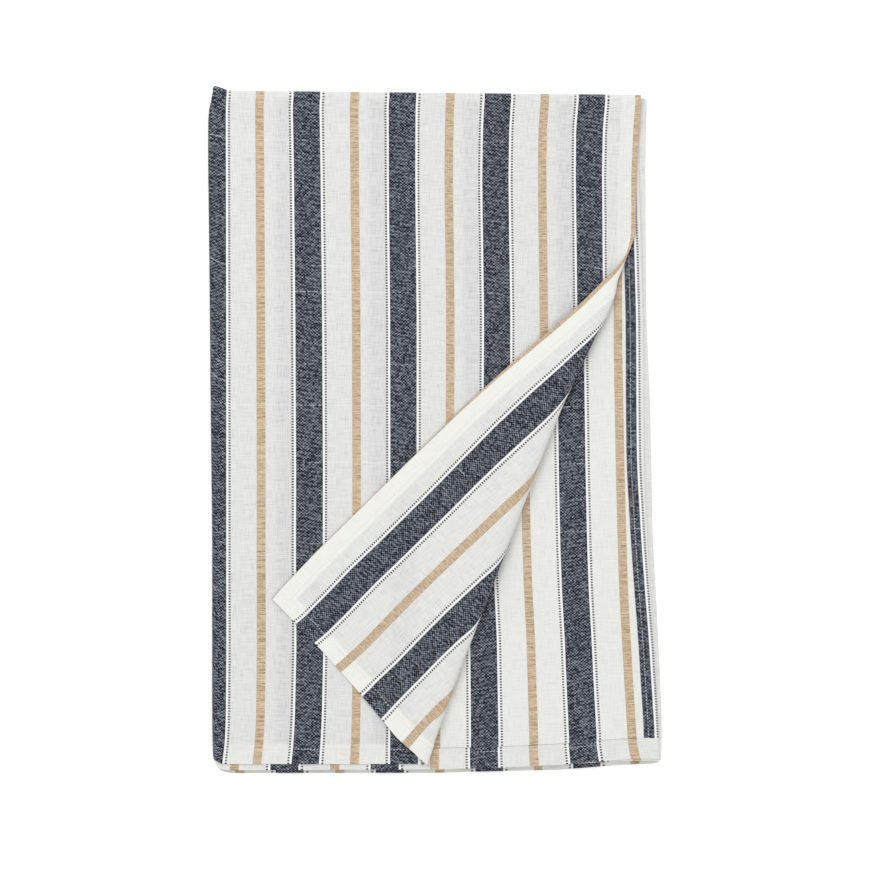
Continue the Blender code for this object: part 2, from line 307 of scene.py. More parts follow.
@dataclass(frozen=True)
class Cut:
    """The flat cloth: its thickness, its hems and the lengths that fold into the section."""

    thickness: float = 1.0
    hem_rise: float = 0.5
    hem_width: float = 20.0
    hem_step: float = 1.5
    layer_width: float = 450.0
    outer_fold: float = 7.0
    small_fold: float = 3.0
    half_length: float = 693.0
    bend_length: float = 16.0
    first_side_hem: float = 19.3
    last_side_hem: float = 14.95
    last_side_widens: float = 3.4
    widens_over: tuple[float, float] = (40.0, 330.0)
    last_end_hem: float = 21.8
    hem_ease: float = 40.0

    @property
    def lengths(self) -> dict[Stretch, float]:
        """Each stretch's length across the cloth."""
        folds = {
            Stretch.OUTER: self.outer_fold,
            Stretch.CENTRE: self.small_fold,
            Stretch.INNER: self.small_fold,
        }
        return {stretch: folds.get(stretch, self.layer_width) for stretch in Stretch}

    @property
    def starts(self) -> dict[Stretch, float]:
        """Where each stretch starts, from the top layer's free edge."""
        ends = np.cumsum([0.0, *self.lengths.values()])
        return dict(zip(Stretch, ends))

    @property
    def width(self) -> float:
        """The whole cloth across its stripes."""
        return sum(self.lengths.values())

    @property
    def length(self) -> float:
        """The whole cloth along its stripes."""
        return 2 * self.half_length + self.bend_length

    def side_hem(self, across: np.ndarray, up: np.ndarray) -> np.ndarray:
        """How wide the nearer side hem is turned. The second layer's widens away from its corner."""
        widening = np.interp(up, self.widens_over, (0.0, self.last_side_widens))
        return np.where(across < self.width / 2, self.first_side_hem, self.last_side_hem + widening)

    def end_hem(self, across: np.ndarray, up: np.ndarray) -> np.ndarray:
        """How wide the nearer end hem is turned. The second layer's is the widest.

        Args:
            across: Distances across the cut.
            up: Distances up it.

        Returns:
            The hem's width at each point.
        """
        start = self.starts[Stretch.SECOND]
        near = np.interp(across, (start, start + self.layer_width / 2), (self.hem_width, self.last_end_hem))
        return np.where(up < self.length / 2, near, self.hem_width)

    def from_edges(self, across: np.ndarray, up: np.ndarray) -> tuple[np.ndarray, np.ndarray]:
        """How far points lie from the nearer side edge and from the nearer end."""
        return np.minimum(across, self.width - across), np.minimum(up, self.length - up)

    def inside_hem(self, across: np.ndarray, up: np.ndarray) -> np.ndarray:
        """How far points lie within a hem, from its inner edge outwards. Below 0 on the cloth itself."""
        side, end = self.from_edges(across, up)
        return np.maximum(self.side_hem(across, up) - side, self.end_hem(across, up) - end)

    def eased(self, across: np.ndarray, up: np.ndarray) -> tuple[np.ndarray, np.ndarray]:
        """Moves even lines beside the edges to where the hems' inner edges lie.

        Args:
            across: Distances across the cut.
            up: Distances up it.

        Returns:
            The moved distances across and up.
        """
        moved = []
        for from_edge, width in zip(
            self.from_edges(across, up), (self.side_hem(across, up), self.end_hem(across, up))
        ):
            places = (0.0, self.hem_width, self.hem_width + self.hem_step, self.hem_ease)
            share = np.interp(from_edge, places, (0.0, 1.0, 1.0, 0.0))
            moved.append((width - self.hem_width) * share)
        inwards = np.where(across < self.width / 2, 1.0, -1.0), np.where(up < self.length / 2, 1.0, -1.0)
        return across + moved[0] * inwards[0], up + moved[1] * inwards[1]


@dataclass
class FoldedSheet:
    """Folds the flat cloth into its stack and turns the top layer's corner back."""

    cut: Cut = field(default_factory=Cut)
    layer_gap: float = 0.45
    bend_bulge: float = 1.2
    bend_bulge_reach: float = 42.0
    top_left: tuple[float, float] = (-232.0, 355.5)
    top_slope: float = 0.0103
    corner_lift: float = 4.8
    corner_reach: float = 10.6
    end_hem_room: tuple[float, float] = (-255.0, -318.0)
    side_hem_room: tuple[float, float] = (150.0, 187.0)
    crease_top: tuple[float, float] = (450.0, 538.0)
    crease_foot: tuple[float, float] = (215.5, 0.0)
    flap_settle: float = 60.0
    flap_gap: float = 1.3
    slip_reach: float = 30.0
    slips_from: tuple[float, float] = (10.0, 40.0)
    swells_below_top: tuple[float, float] = (4.0, 60.0)
    swells_off_left: tuple[float, float] = (-232.0, -190.0)
    soften: float = 12.0
    place_rounds: int = 4
    slope_step: float = 0.05

    @property
    def pitch(self) -> float:
        """From the middle of one layer to the next."""
        return self.cut.thickness + self.layer_gap

    def edge(self, name: str, y: np.ndarray) -> np.ndarray:
        """How far across one of the stack's long edges lies at height y."""
        return column(EDGES, "y", name, y, self.soften)

    def top_line(self, x: np.ndarray) -> np.ndarray:
        """How far up the top fold reaches: it slopes down to the right and lifts at its left corner.

        Args:
            x: Places across the stack.

        Returns:
            The fold's places up the stack.
        """
        along = x - self.top_left[0]
        lift = self.corner_lift * np.exp(-((along / self.corner_reach) ** 2))
        return self.top_left[1] + lift - along * self.top_slope

    def layer_heights(self, x: np.ndarray, y: np.ndarray) -> dict[Stretch, np.ndarray]:
        """Heights of the layers over the plane between the stack's halves.

        Args:
            x: Places across the stack.
            y: Places up it.

        Returns:
            The height of each layer's middle.
        """
        hems = 2 * self.cut.hem_rise * rise(y, *self.end_hem_room)
        side_hems = 2 * self.cut.hem_rise * rise(x, *self.side_hem_room)
        reach = self.top_line(x) - y
        bottom = self.pitch / 2 + self.bend_bulge * rise(reach, self.bend_bulge_reach, 0.0)
        third = bottom + self.pitch + hems
        second = third + self.pitch
        top = second + self.pitch + np.maximum(hems, side_hems)
        return {
            Stretch.TOP: top,
            Stretch.SECOND: second,
            Stretch.THIRD: third,
            Stretch.BOTTOM: bottom,
        }

    def bend_line(self, x: np.ndarray) -> np.ndarray:
        """Where the layers leave the flat and turn over the top fold."""
        top = self.layer_heights(x, self.top_line(x))[Stretch.TOP]
        return self.top_line(x) - top - self.cut.thickness / 2

    def crease(self) -> tuple[np.ndarray, np.ndarray, np.ndarray]:
        """The top of the crease, the direction down it and the direction out over the corner."""
        top, foot = np.array(self.crease_top), np.array(self.crease_foot)
        along = (foot - top) / np.hypot(*(foot - top))
        return top, along, np.array((-along[1], along[0]))

    def beyond_crease(self, across: np.ndarray, up: np.ndarray) -> np.ndarray:
        """How far points of the top layer lie beyond the crease, towards the corner."""
        top, _, out = self.crease()
        return (self.cut.layer_width - across - top[0]) * out[0] + (up - top[1]) * out[1]

    def turn_back(self, from_fold: np.ndarray, up: np.ndarray) -> tuple[np.ndarray, ...]:
        """Turns the corner of the top layer back.

        Args:
            from_fold: Distances across the top layer from its left fold.
            up: Distances up it from its hem.

        Returns:
            The new distances from the fold and up, and how much each point lifts.
        """
        top, down, out = self.crease()
        along = (from_fold - top[0]) * down[0] + (up - top[1]) * down[1]
        beyond = (from_fold - top[0]) * out[0] + (up - top[1]) * out[1]
        inset, reach, height, sway = (
            column(ROLL, "along", name, along) for name in ("inset", "reach", "height", "sway")
        )
        start = inset + reach
        rolled = np.clip((beyond + start) / (2 * start), 0.0, 1.0) * math.pi
        sideways = np.where(abs(beyond) < start, reach * np.sin(rolled) - start, -abs(beyond))
        sideways = sideways - sway * rise(beyond, 0.0, self.flap_settle)
        settled = rise(beyond, start, start + self.flap_settle)
        flap_pitch = self.cut.thickness + self.flap_gap
        lift = height * (1 - np.cos(rolled)) + settled * (flap_pitch - 2 * height)
        place = (top[axis] + along * down[axis] + sideways * out[axis] for axis in (0, 1))
        return *place, lift

    def slip(self, across: np.ndarray, up: np.ndarray) -> np.ndarray:
        """How far points of the turned-back flap have slid beside its end hem.

        Args:
            across: Distances across the cut.
            up: Distances up it.

        Returns:
            The slide across the stack and up it, one row a point.
        """
        share = np.exp(-up / self.slip_reach) * rise(self.beyond_crease(across, up), *self.slips_from)
        slid = (column(SLIPS, "along", name, across, self.soften) for name in ("right", "up"))
        return np.stack([way * share for way in slid], axis=-1)

    def section_place(self, stretch: Stretch, t: np.ndarray, y: np.ndarray) -> np.ndarray:
        """How far across the stack points of a stretch lie.

        Args:
            stretch: The stretch of the section.
            t: Shares of the way through it.
            y: Places up the stack.

        Returns:
            The places across the stack.
        """
        heights = self.layer_heights(np.zeros_like(y), y)
        outer_radius = (heights[Stretch.TOP] - heights[Stretch.BOTTOM]) / 2
        centre_radius = (heights[Stretch.THIRD] - heights[Stretch.BOTTOM]) / 2
        half = self.cut.thickness / 2
        left = self.edge("left_fold", y) + half + outer_radius
        right = self.edge("right_fold", y) - half - centre_radius
        if stretch is Stretch.OUTER:
            return left - outer_radius * np.sin(math.pi * t)
        if stretch is Stretch.INNER:
            return left - self.pitch / 2 * np.sin(math.pi * t)
        if stretch is Stretch.CENTRE:
            return right + centre_radius * np.sin(math.pi * t)
        free = {Stretch.TOP: "top_free", Stretch.SECOND: "second_free"}
        far_side = self.edge(free[stretch], y) if stretch in free else right
        away = t if stretch in (Stretch.BOTTOM, Stretch.SECOND) else 1 - t
        return left + away * (far_side - left)

    def section_height(self, stretch: Stretch, t: np.ndarray, x: np.ndarray, y: np.ndarray) -> np.ndarray:
        """How high points of a stretch lie over the plane between the stack's halves.

        Args:
            stretch: The stretch of the section.
            t: Shares of the way through it.
            x: Places across the stack.
            y: Places up it.

        Returns:
            The heights.
        """
        flat = self.layer_heights(x, y)
        if stretch in flat:
            return flat[stretch]
        ends = {
            Stretch.OUTER: (Stretch.TOP, Stretch.BOTTOM),
            Stretch.CENTRE: (Stretch.BOTTOM, Stretch.THIRD),
            Stretch.INNER: (Stretch.THIRD, Stretch.SECOND),
        }[stretch]
        first, last = (flat[end] for end in ends)
        return (first + last) / 2 + (first - last) / 2 * np.cos(math.pi * t)

    def hem_end(self, stretch: Stretch, t: np.ndarray, x: np.ndarray, far: bool) -> np.ndarray:
        """Where a stretch's hem ends on one half of the stack.

        Args:
            stretch: The stretch of the section.
            t: Shares of the way through it.
            x: Places across the stack.
            far: Whether it is the half beneath.

        Returns:
            The places up the stack.
        """
        ends = {
            Stretch.TOP: ("top", "top"),
            Stretch.OUTER: ("top", "inner"),
            Stretch.SECOND: ("second", "second"),
            Stretch.INNER: ("inner", "second"),
        }.get(stretch, ("inner", "inner"))
        if far:
            ends = tuple(f"far_{name.replace('top', 'inner')}" for name in ends)
        first, last = (column(ENDS, "x", name, x) for name in ends)
        return first * (1 - t) + last * t

    def waves(self, stretch: Stretch, x: np.ndarray, y: np.ndarray) -> np.ndarray:
        """Low soft swells in the top layer, which lies loosely, and none below it.

        Args:
            stretch: The stretch of the section.
            x: Places across the stack.
            y: Places up it.

        Returns:
            How far the swells lift each point.
        """
        if stretch is not Stretch.TOP:
            return np.zeros_like(x)
        swell = sum(wave.height(x, y) for wave in SWELLS)
        return swell * rise(self.top_line(x) - y, *self.swells_below_top) * rise(x, *self.swells_off_left)

    def place_stretch(
        self, stretch: Stretch, t: np.ndarray, up: np.ndarray, lift: np.ndarray
    ) -> np.ndarray:
        """Places points of one stretch.

        Args:
            stretch: The stretch of the section.
            t: Shares of the way through it.
            up: Distances up the sheet.
            lift: How far the points stand over their layer.

        Returns:
            The folded places, one row a point.
        """
        cut = self.cut
        near = np.clip(up / cut.half_length, 0.0, 1.0)
        far = np.clip((up - cut.half_length - cut.bend_length) / cut.half_length, 0.0, 1.0)
        turned = np.clip((up - cut.half_length) / cut.bend_length, 0.0, 1.0) * math.pi
        y = np.zeros_like(up)
        for _ in range(self.place_rounds):
            x = self.section_place(stretch, t, y)
            ends = (self.hem_end(stretch, t, x, is_far) for is_far in (True, False))
            low = np.where(far > 0, *ends)
            share = np.where(far > 0, 1 - far, near)
            y = low + share * (self.bend_line(x) - low)
        x = self.section_place(stretch, t, y)
        top = self.layer_heights(x, y)[Stretch.TOP]
        height = self.section_height(stretch, t, x, y) + lift
        z = top + cut.thickness / 2 + height * np.cos(turned)
        return np.stack((x, y + height * np.sin(turned), z), axis=-1)

    def fold(self, across: np.ndarray, up: np.ndarray, turned_back: bool = True) -> np.ndarray:
        """Folds points of the flat sheet.

        Args:
            across: Distances across the cut from the top layer's free edge.
            up: Distances up the cut from the near hem.
            turned_back: Whether the top layer's corner is turned back.

        Returns:
            The folded places of the middle of the cloth, one row a point.
        """
        cut = self.cut
        places = np.zeros((len(across), 3))
        index = self.stretch_index(across)
        for number, stretch in enumerate(Stretch):
            mine = index == number
            if not mine.any():
                continue
            t = (across[mine] - cut.starts[stretch]) / cut.lengths[stretch]
            along = up[mine]
            lift = np.zeros_like(along)
            if stretch is Stretch.TOP and turned_back:
                near = along < cut.half_length
                from_fold, new_up, lifted = self.turn_back(cut.layer_width * (1 - t), along)
                swell = self.waves(stretch, *self.fold(across[mine], along, False)[:, :2].T)
                t = np.where(near, 1 - from_fold / cut.layer_width, t)
                along = np.where(near, new_up, along)
                lift = np.where(near, lifted + swell, lift)
            places[mine] = self.place_stretch(stretch, t, along, lift)
            if stretch is Stretch.TOP and turned_back:
                places[mine, :2] += self.slip(across[mine], up[mine])
        return places

    def stretch_index(self, across: np.ndarray) -> np.ndarray:
        """Which stretch each point belongs to, as its number in the section."""
        limits = list(self.cut.starts.values())[1:]
        return np.searchsorted(limits, across, side="right")

    def face_normals(self, across: np.ndarray, up: np.ndarray) -> np.ndarray:
        """The directions in which the face side looks, from the folded sheet's slopes.

        Args:
            across: Distances across the cut.
            up: Distances up it.

        Returns:
            A unit vector for each point.
        """
        step = self.slope_step
        x = np.clip(across, step, self.cut.width - step)
        y = np.clip(up, step, self.cut.length - step)
        slope_across = self.fold(x + step, y) - self.fold(x - step, y)
        slope_up = self.fold(x, y + step) - self.fold(x, y - step)
        normals = np.cross(slope_up, slope_across)
        return normals / np.linalg.norm(normals, axis=1, keepdims=True)

    def hem_share(self, across: np.ndarray, up: np.ndarray) -> np.ndarray:
        """1 on the hems, 0 inside them, with a short step between."""
        return np.clip(1 + self.cut.inside_hem(across, up) / self.cut.hem_step, 0.0, 1.0)

    def sides(self, across: np.ndarray, up: np.ndarray, proud: float = 0.0) -> tuple[np.ndarray, np.ndarray]:
        """The two sides of the cloth.

        Args:
            across: Distances across the cut.
            up: Distances up the cut.
            proud: How far over the cloth's own surface the points stand.

        Returns:
            Places on the face side and on the reverse, one row a point.
        """
        middle, normals = self.fold(across, up), self.face_normals(across, up)
        behind = self.cut.thickness / 2 + self.cut.hem_rise * self.hem_share(across, up) + proud
        ahead = self.cut.thickness / 2 + proud
        return middle + normals * ahead, middle - normals * behind[:, None]


@dataclass(frozen=True)
class Swell:
    """One low swell in the top layer, a long soft ridge, in millimetres."""

    x: float
    y: float
    length: float
    width: float
    rise: float
    turn: float

    def height(self, x: np.ndarray, y: np.ndarray) -> np.ndarray:
        """The swell's height.

        Args:
            x: Places across the stack.
            y: Places up it.

        Returns:
            The height at each place.
        """
        turn = math.radians(self.turn)
        along = (x - self.x) * math.cos(turn) + (y - self.y) * math.sin(turn)
        beside = (y - self.y) * math.cos(turn) - (x - self.x) * math.sin(turn)
        return self.rise * np.exp(-((along / self.length) ** 2) - (beside / self.width) ** 2)


SWELLS = rows(
    Swell,
    (-150.0, 240.0, 120.0, 22.0, 0.5, 8.0),
    (60.0, 265.0, 150.0, 30.0, 0.5, -14.0),
    (-60.0, 120.0, 170.0, 26.0, 0.45, 38.0),
    (-170.0, -10.0, 130.0, 20.0, 0.45, 82.0),
    (-70.0, -90.0, 120.0, 24.0, 0.5, -36.0),
    (-120.0, -250.0, 140.0, 22.0, 0.45, 4.0),
    (140.0, 150.0, 110.0, 20.0, 0.4, 64.0),
)


@dataclass(frozen=True)
class StripeRepeat:
    """The warp's repeat, mirrored about the middle of its navy stripe, in millimetres."""

    repeat: float = 98.4
    navy_half: float = 13.85
    tan_half: float = 4.5
    bright_width: float = 2.2
    dotted_middle: float = 17.15
    dotted_half: float = 1.1


@dataclass
class StripeMap:
    """Says which yarn of the stripe repeat lies at each point of the cloth.

    The coordinate runs across the cut from the top layer's fifth navy stripe, where it is 0, and grows
    by one repeat at each navy stripe.
    """

    sheet: FoldedSheet
    stripes: StripeRepeat = field(default_factory=StripeRepeat)
    top_order: tuple[tuple[str, float], ...] = (
        ("navy_1", 4.0),
        ("navy_2", 3.0),
        ("navy_3", 2.0),
        ("navy_4", 1.0),
        ("navy_5", 0.0),
        ("tan_5", -0.5),
    )
    second_order: tuple[tuple[str, float], ...] = (
        ("navy_a", 15.0),
        ("navy_b", 16.0),
        ("navy_c", 17.0),
        ("navy_d", 18.0),
        ("tan_d", 18.5),
    )
    third_start: float = 9.0
    third_offset: float = 24.0
    side_hem_navy: float = 19.0
    side_hem_shows: float = 10.9
    soften: float = 6.0

    def read(self, table: tuple, order: tuple, x: np.ndarray, y: np.ndarray) -> np.ndarray:
        """The stripe coordinate at places on a layer.

        Args:
            table: Where the layer's stripes lie.
            order: The stripes from left to right, each with its number of repeats.
            x: Places across the stack.
            y: Places up it.

        Returns:
            The coordinate in millimetres.
        """
        middles = [column(table, "y", name, y, self.soften) for name, _ in order]
        repeats = [number for _, number in order]
        spans = zip(middles, middles[1:], repeats, repeats[1:])
        found = None
        for left, right, first, last in spans:
            here = first + (last - first) * (x - left) / (right - left)
            found = here if found is None else np.where(x >= left, here, found)
        return found * self.stripes.repeat

    def top(self, x: np.ndarray, y: np.ndarray) -> np.ndarray:
        """The stripe coordinate on the top layer, before its corner is turned back."""
        return self.read(TOP_STRIPES, self.top_order, x, y)

    def second(self, x: np.ndarray, y: np.ndarray, far: np.ndarray) -> np.ndarray:
        """The stripe coordinate on the second layer of either half.

        Args:
            x: Places across the stack.
            y: Places up it.
            far: True at the points of the half beneath.

        Returns:
            The coordinate in millimetres.
        """
        near_half, far_half = (
            self.read(table, self.second_order, x, y) for table in (SECOND_STRIPES, FAR_STRIPES)
        )
        return np.where(far, far_half, near_half)

    def body(self, across: np.ndarray, up: np.ndarray, flat_places: np.ndarray) -> np.ndarray:
        """The stripe coordinate of the cloth itself.

        Args:
            across: Distances across the cut.
            up: Distances up the cut.
            flat_places: Places in the stack with no corner turned back.

        Returns:
            The coordinate in millimetres.
        """
        cut, sheet = self.sheet.cut, self.sheet
        x, y = flat_places[:, 0], flat_places[:, 1]
        y = np.minimum(y, sheet.bend_line(x))
        far = up > cut.half_length
        left = sheet.section_place(Stretch.OUTER, np.zeros_like(y), y)
        top_left = self.top(left, y)
        second_left = self.second(left, y, far)
        third_first = self.third_start * self.stripes.repeat + self.third_offset
        fold = cut.small_fold
        outer_last = top_left + cut.outer_fold
        inner_first = second_left - fold
        ends = {
            Stretch.OUTER: (top_left, outer_last),
            Stretch.BOTTOM: (outer_last, third_first - fold),
            Stretch.CENTRE: (third_first - fold, third_first),
            Stretch.THIRD: (third_first, inner_first),
            Stretch.INNER: (inner_first, second_left),
        }
        index = sheet.stretch_index(across)
        found = np.zeros_like(x)
        for number, stretch in enumerate(Stretch):
            mine = index == number
            if stretch is Stretch.TOP:
                value = self.top(x, y)
            elif stretch is Stretch.SECOND:
                value = self.second(x, y, far)
            else:
                t = (across - cut.starts[stretch]) / cut.lengths[stretch]
                first, last = ends[stretch]
                value = first + t * (last - first)
            found = np.where(mine, value, found)
        return found

    def hems(
        self, across: np.ndarray, up: np.ndarray, flat_places: np.ndarray, body: np.ndarray
    ) -> tuple[np.ndarray, np.ndarray]:
        """The stripe coordinates that the turned side hems and end hems show.

        A side hem shows the cloth from beyond the edge, running back over it, and on the second layer its
        inner edge follows the next navy stripe. An end hem's stripes run on from the cloth's, and on the
        second layer they are a little out of line.

        Args:
            across: Distances across the cut.
            up: Distances up it.
            flat_places: Places in the stack with no corner turned back.
            body: The stripe coordinate of the cloth itself.

        Returns:
            The coordinates on the side hems and on the end hems.
        """
        cut = self.sheet.cut
        near_side = across < cut.width / 2
        from_edge, _ = cut.from_edges(across, up)
        at_edge = self.body(np.zeros_like(up), up, self.sheet.fold(np.zeros_like(up), up, False))
        at_inner = self.side_hem_navy * self.stripes.repeat - self.stripes.navy_half + self.side_hem_shows
        side = np.where(near_side, at_edge - from_edge, at_inner + from_edge - cut.side_hem(across, up))
        second = self.sheet.stretch_index(across) == len(Stretch) - 1
        shifted = self.read(SECOND_HEM_STRIPES, self.second_order, flat_places[:, 0], flat_places[:, 1])
        end = np.where(second & (up < cut.length / 2), shifted, body)
        return side, end


class Wire:
    """One value on its way through a shader, with Python's own operators for its maths."""

    def __init__(self, nodes: "ShaderNodes", socket: bpy.types.NodeSocket) -> None:
        """Wraps an output socket of a node tree."""
        self.nodes = nodes
        self.socket = socket

    def _math(self, operation: str, *values: "Wire | float") -> "Wire":
        """Adds one Math node."""
        return self.nodes.add("ShaderNodeMath", {"operation": operation}, dict(enumerate(values)))

    def __add__(self, other: "Wire | float") -> "Wire":
        """Adds."""
        return self._math("ADD", self, other)

    def __radd__(self, other: float) -> "Wire":
        """Adds, with the number first."""
        return self._math("ADD", other, self)

    def __sub__(self, other: "Wire | float") -> "Wire":
        """Subtracts."""
        return self._math("SUBTRACT", self, other)

    def __rsub__(self, other: float) -> "Wire":
        """Subtracts this from a number."""
        return self._math("SUBTRACT", other, self)

    def __mul__(self, other: "Wire | float") -> "Wire":
        """Multiplies."""
        return self._math("MULTIPLY", self, other)

    def __rmul__(self, other: float) -> "Wire":
        """Multiplies, with the number first."""
        return self._math("MULTIPLY", other, self)

    def __truediv__(self, other: "Wire | float") -> "Wire":
        """Divides."""
        return self._math("DIVIDE", self, other)

    def __abs__(self) -> "Wire":
        """Drops the sign."""
        return self._math("ABSOLUTE", self)

    def sine(self) -> "Wire":
        """The sine."""
        return self._math("SINE", self)

    def floor(self) -> "Wire":
        """The next whole number down."""
        return self._math("FLOOR", self)

    def wrapped(self, half: float) -> "Wire":
        """Brings the value into the range from -half to half by whole repeats."""
        return self._math("WRAP", self, half, -half)

    def least(self, other: "Wire | float") -> "Wire":
        """The smaller of two values."""
        return self._math("MINIMUM", self, other)

    def most(self, other: "Wire | float") -> "Wire":
        """The larger of two values."""
        return self._math("MAXIMUM", self, other)

    def ramp(self, start: float, stop: float) -> "Wire":
        """A smooth slope.

        Args:
            start: Where it leaves 0.
            stop: Where it reaches 1.

        Returns:
            The slope's height at this value.
        """
        settings = {"interpolation_type": "SMOOTHSTEP"}
        sockets = {"Value": self, "From Min": start, "From Max": stop}
        return self.nodes.add("ShaderNodeMapRange", settings, sockets)


class ShaderNodes:
    """A material's node tree, filled by short calls."""

    def __init__(self, name: str) -> None:
        """Makes a material with a Principled shader.

        Args:
            name: The material's name.
        """
        self.material = bpy.data.materials.new(name)
        self.material.use_nodes = True
        self.tree = self.material.node_tree
        self.shader = self.tree.nodes["Principled BSDF"]

    def add(self, kind: str, settings: dict, sockets: dict, output: int | str = 0) -> Wire:
        """Adds a node.

        Args:
            kind: The node's type.
            settings: Its settings, which are made first.
            sockets: Values or wires for its inputs, by name or number.
            output: The output that is wanted.

        Returns:
            The wanted output.
        """
        node = self.tree.nodes.new(kind)
        for name, value in settings.items():
            setattr(node, name, value)
        for name, value in sockets.items():
            self.link(value, node.inputs[name])
        return Wire(self, node.outputs[output])

    def link(self, value: "Wire | float | tuple", target: bpy.types.NodeSocket) -> None:
        """Gives an input a wire or a fixed value.

        Args:
            value: The wire, or the value.
            target: The input.
        """
        if isinstance(value, Wire):
            self.tree.links.new(value.socket, target)
        else:
            target.default_value = value

    def mix(self, factor: "Wire | float", first: "Wire | tuple", second: "Wire | tuple") -> Wire:
        """Mixes two colours: the first at factor 0, the second at 1."""
        sockets = {0: factor, 6: first, 7: second}
        return self.add("ShaderNodeMix", {"data_type": "RGBA"}, sockets, 2)

    def vector(self, x: "Wire | float", y: "Wire | float", z: "Wire | float" = 0.0) -> Wire:
        """Joins three numbers into a vector."""
        return self.add("ShaderNodeCombineXYZ", {}, {0: x, 1: y, 2: z})

    def place(self, layer: str) -> tuple[Wire, Wire]:
        """The two coordinates of a named layer of places.

        Args:
            layer: The layer's name.

        Returns:
            The first and the second coordinate, in metres.
        """
        place = self.add("ShaderNodeUVMap", {"uv_map": layer}, {})
        parts = self.tree.nodes.new("ShaderNodeSeparateXYZ")
        self.link(place, parts.inputs[0])
        return Wire(self, parts.outputs[0]), Wire(self, parts.outputs[1])

    def share(self, name: str) -> Wire:
        """A named value that the mesh carries."""
        return self.add("ShaderNodeAttribute", {"attribute_name": name}, {}, "Fac")

    def noise(self, x: "Wire | float", y: "Wire | float", detail: float = 0.0, seed: float = 0.0) -> Wire:
        """Smooth noise from 0 to 1, one bump a unit."""
        sockets = {"Vector": self.vector(x, y, seed), "Scale": 1.0, "Detail": detail}
        return self.add("ShaderNodeTexNoise", {"noise_dimensions": "3D"}, sockets, "Fac")

    def speckle(self, x: Wire, y: Wire) -> Wire:
        """A random value from 0 to 1 for each whole cell."""
        cell = self.vector(x.floor(), y.floor())
        return self.add("ShaderNodeTexWhiteNoise", {"noise_dimensions": "2D"}, {"Vector": cell}, "Value")

    def bump(self, height: Wire, distance: float) -> None:
        """Feeds a height into the shader's normal."""
        sockets = {"Height": height, "Distance": distance, "Strength": 1.0}
        self.link(self.add("ShaderNodeBump", {}, sockets), self.shader.inputs["Normal"])

    def constants(self, values: dict[str, "float | tuple"]) -> None:
        """Sets the shader's own sockets to values that are the same all over."""
        for name, value in values.items():
            self.shader.inputs[name].default_value = value


def paint(red: int, green: int, blue: int) -> tuple[float, float, float, float]:
    """A colour for the shaders from its usual screen values.

    Args:
        red: From 0 to 255.
        green: From 0 to 255.
        blue: From 0 to 255.

    Returns:
        The colour in linear light.
    """
    shares = (value / 255 for value in (red, green, blue))
    linear = (s / 12.92 if s <= 0.04045 else ((s + 0.055) / 1.055) ** 2.4 for s in shares)
    return (*linear, 1.0)


@dataclass(frozen=True)
class Weave:
    """The parts of the weave's grain that the stripes' colours share, each as a wire."""

    check: Wire
    bands: Wire
    grain: Wire
    picks: Wire
    yarns: Wire
    slubs: Wire


@dataclass(frozen=True)
class Flecks:
    """How much each part of the weave's grain lightens a stripe."""

    base: float
    check: float
    bands: float
    grain: float
    picks: float

    def share(self, weave: Weave) -> Wire:
        """The lighter colour's share at each point.

        Args:
            weave: The grain's parts.

        Returns:
            The share, from 0 to 1.
        """
        even = self.base + weave.check * self.check + weave.bands * self.bands
        uneven = (weave.grain - 0.5) * self.grain + (weave.picks - 0.5) * self.picks
        return (even + uneven).most(0.0).least(1.0)


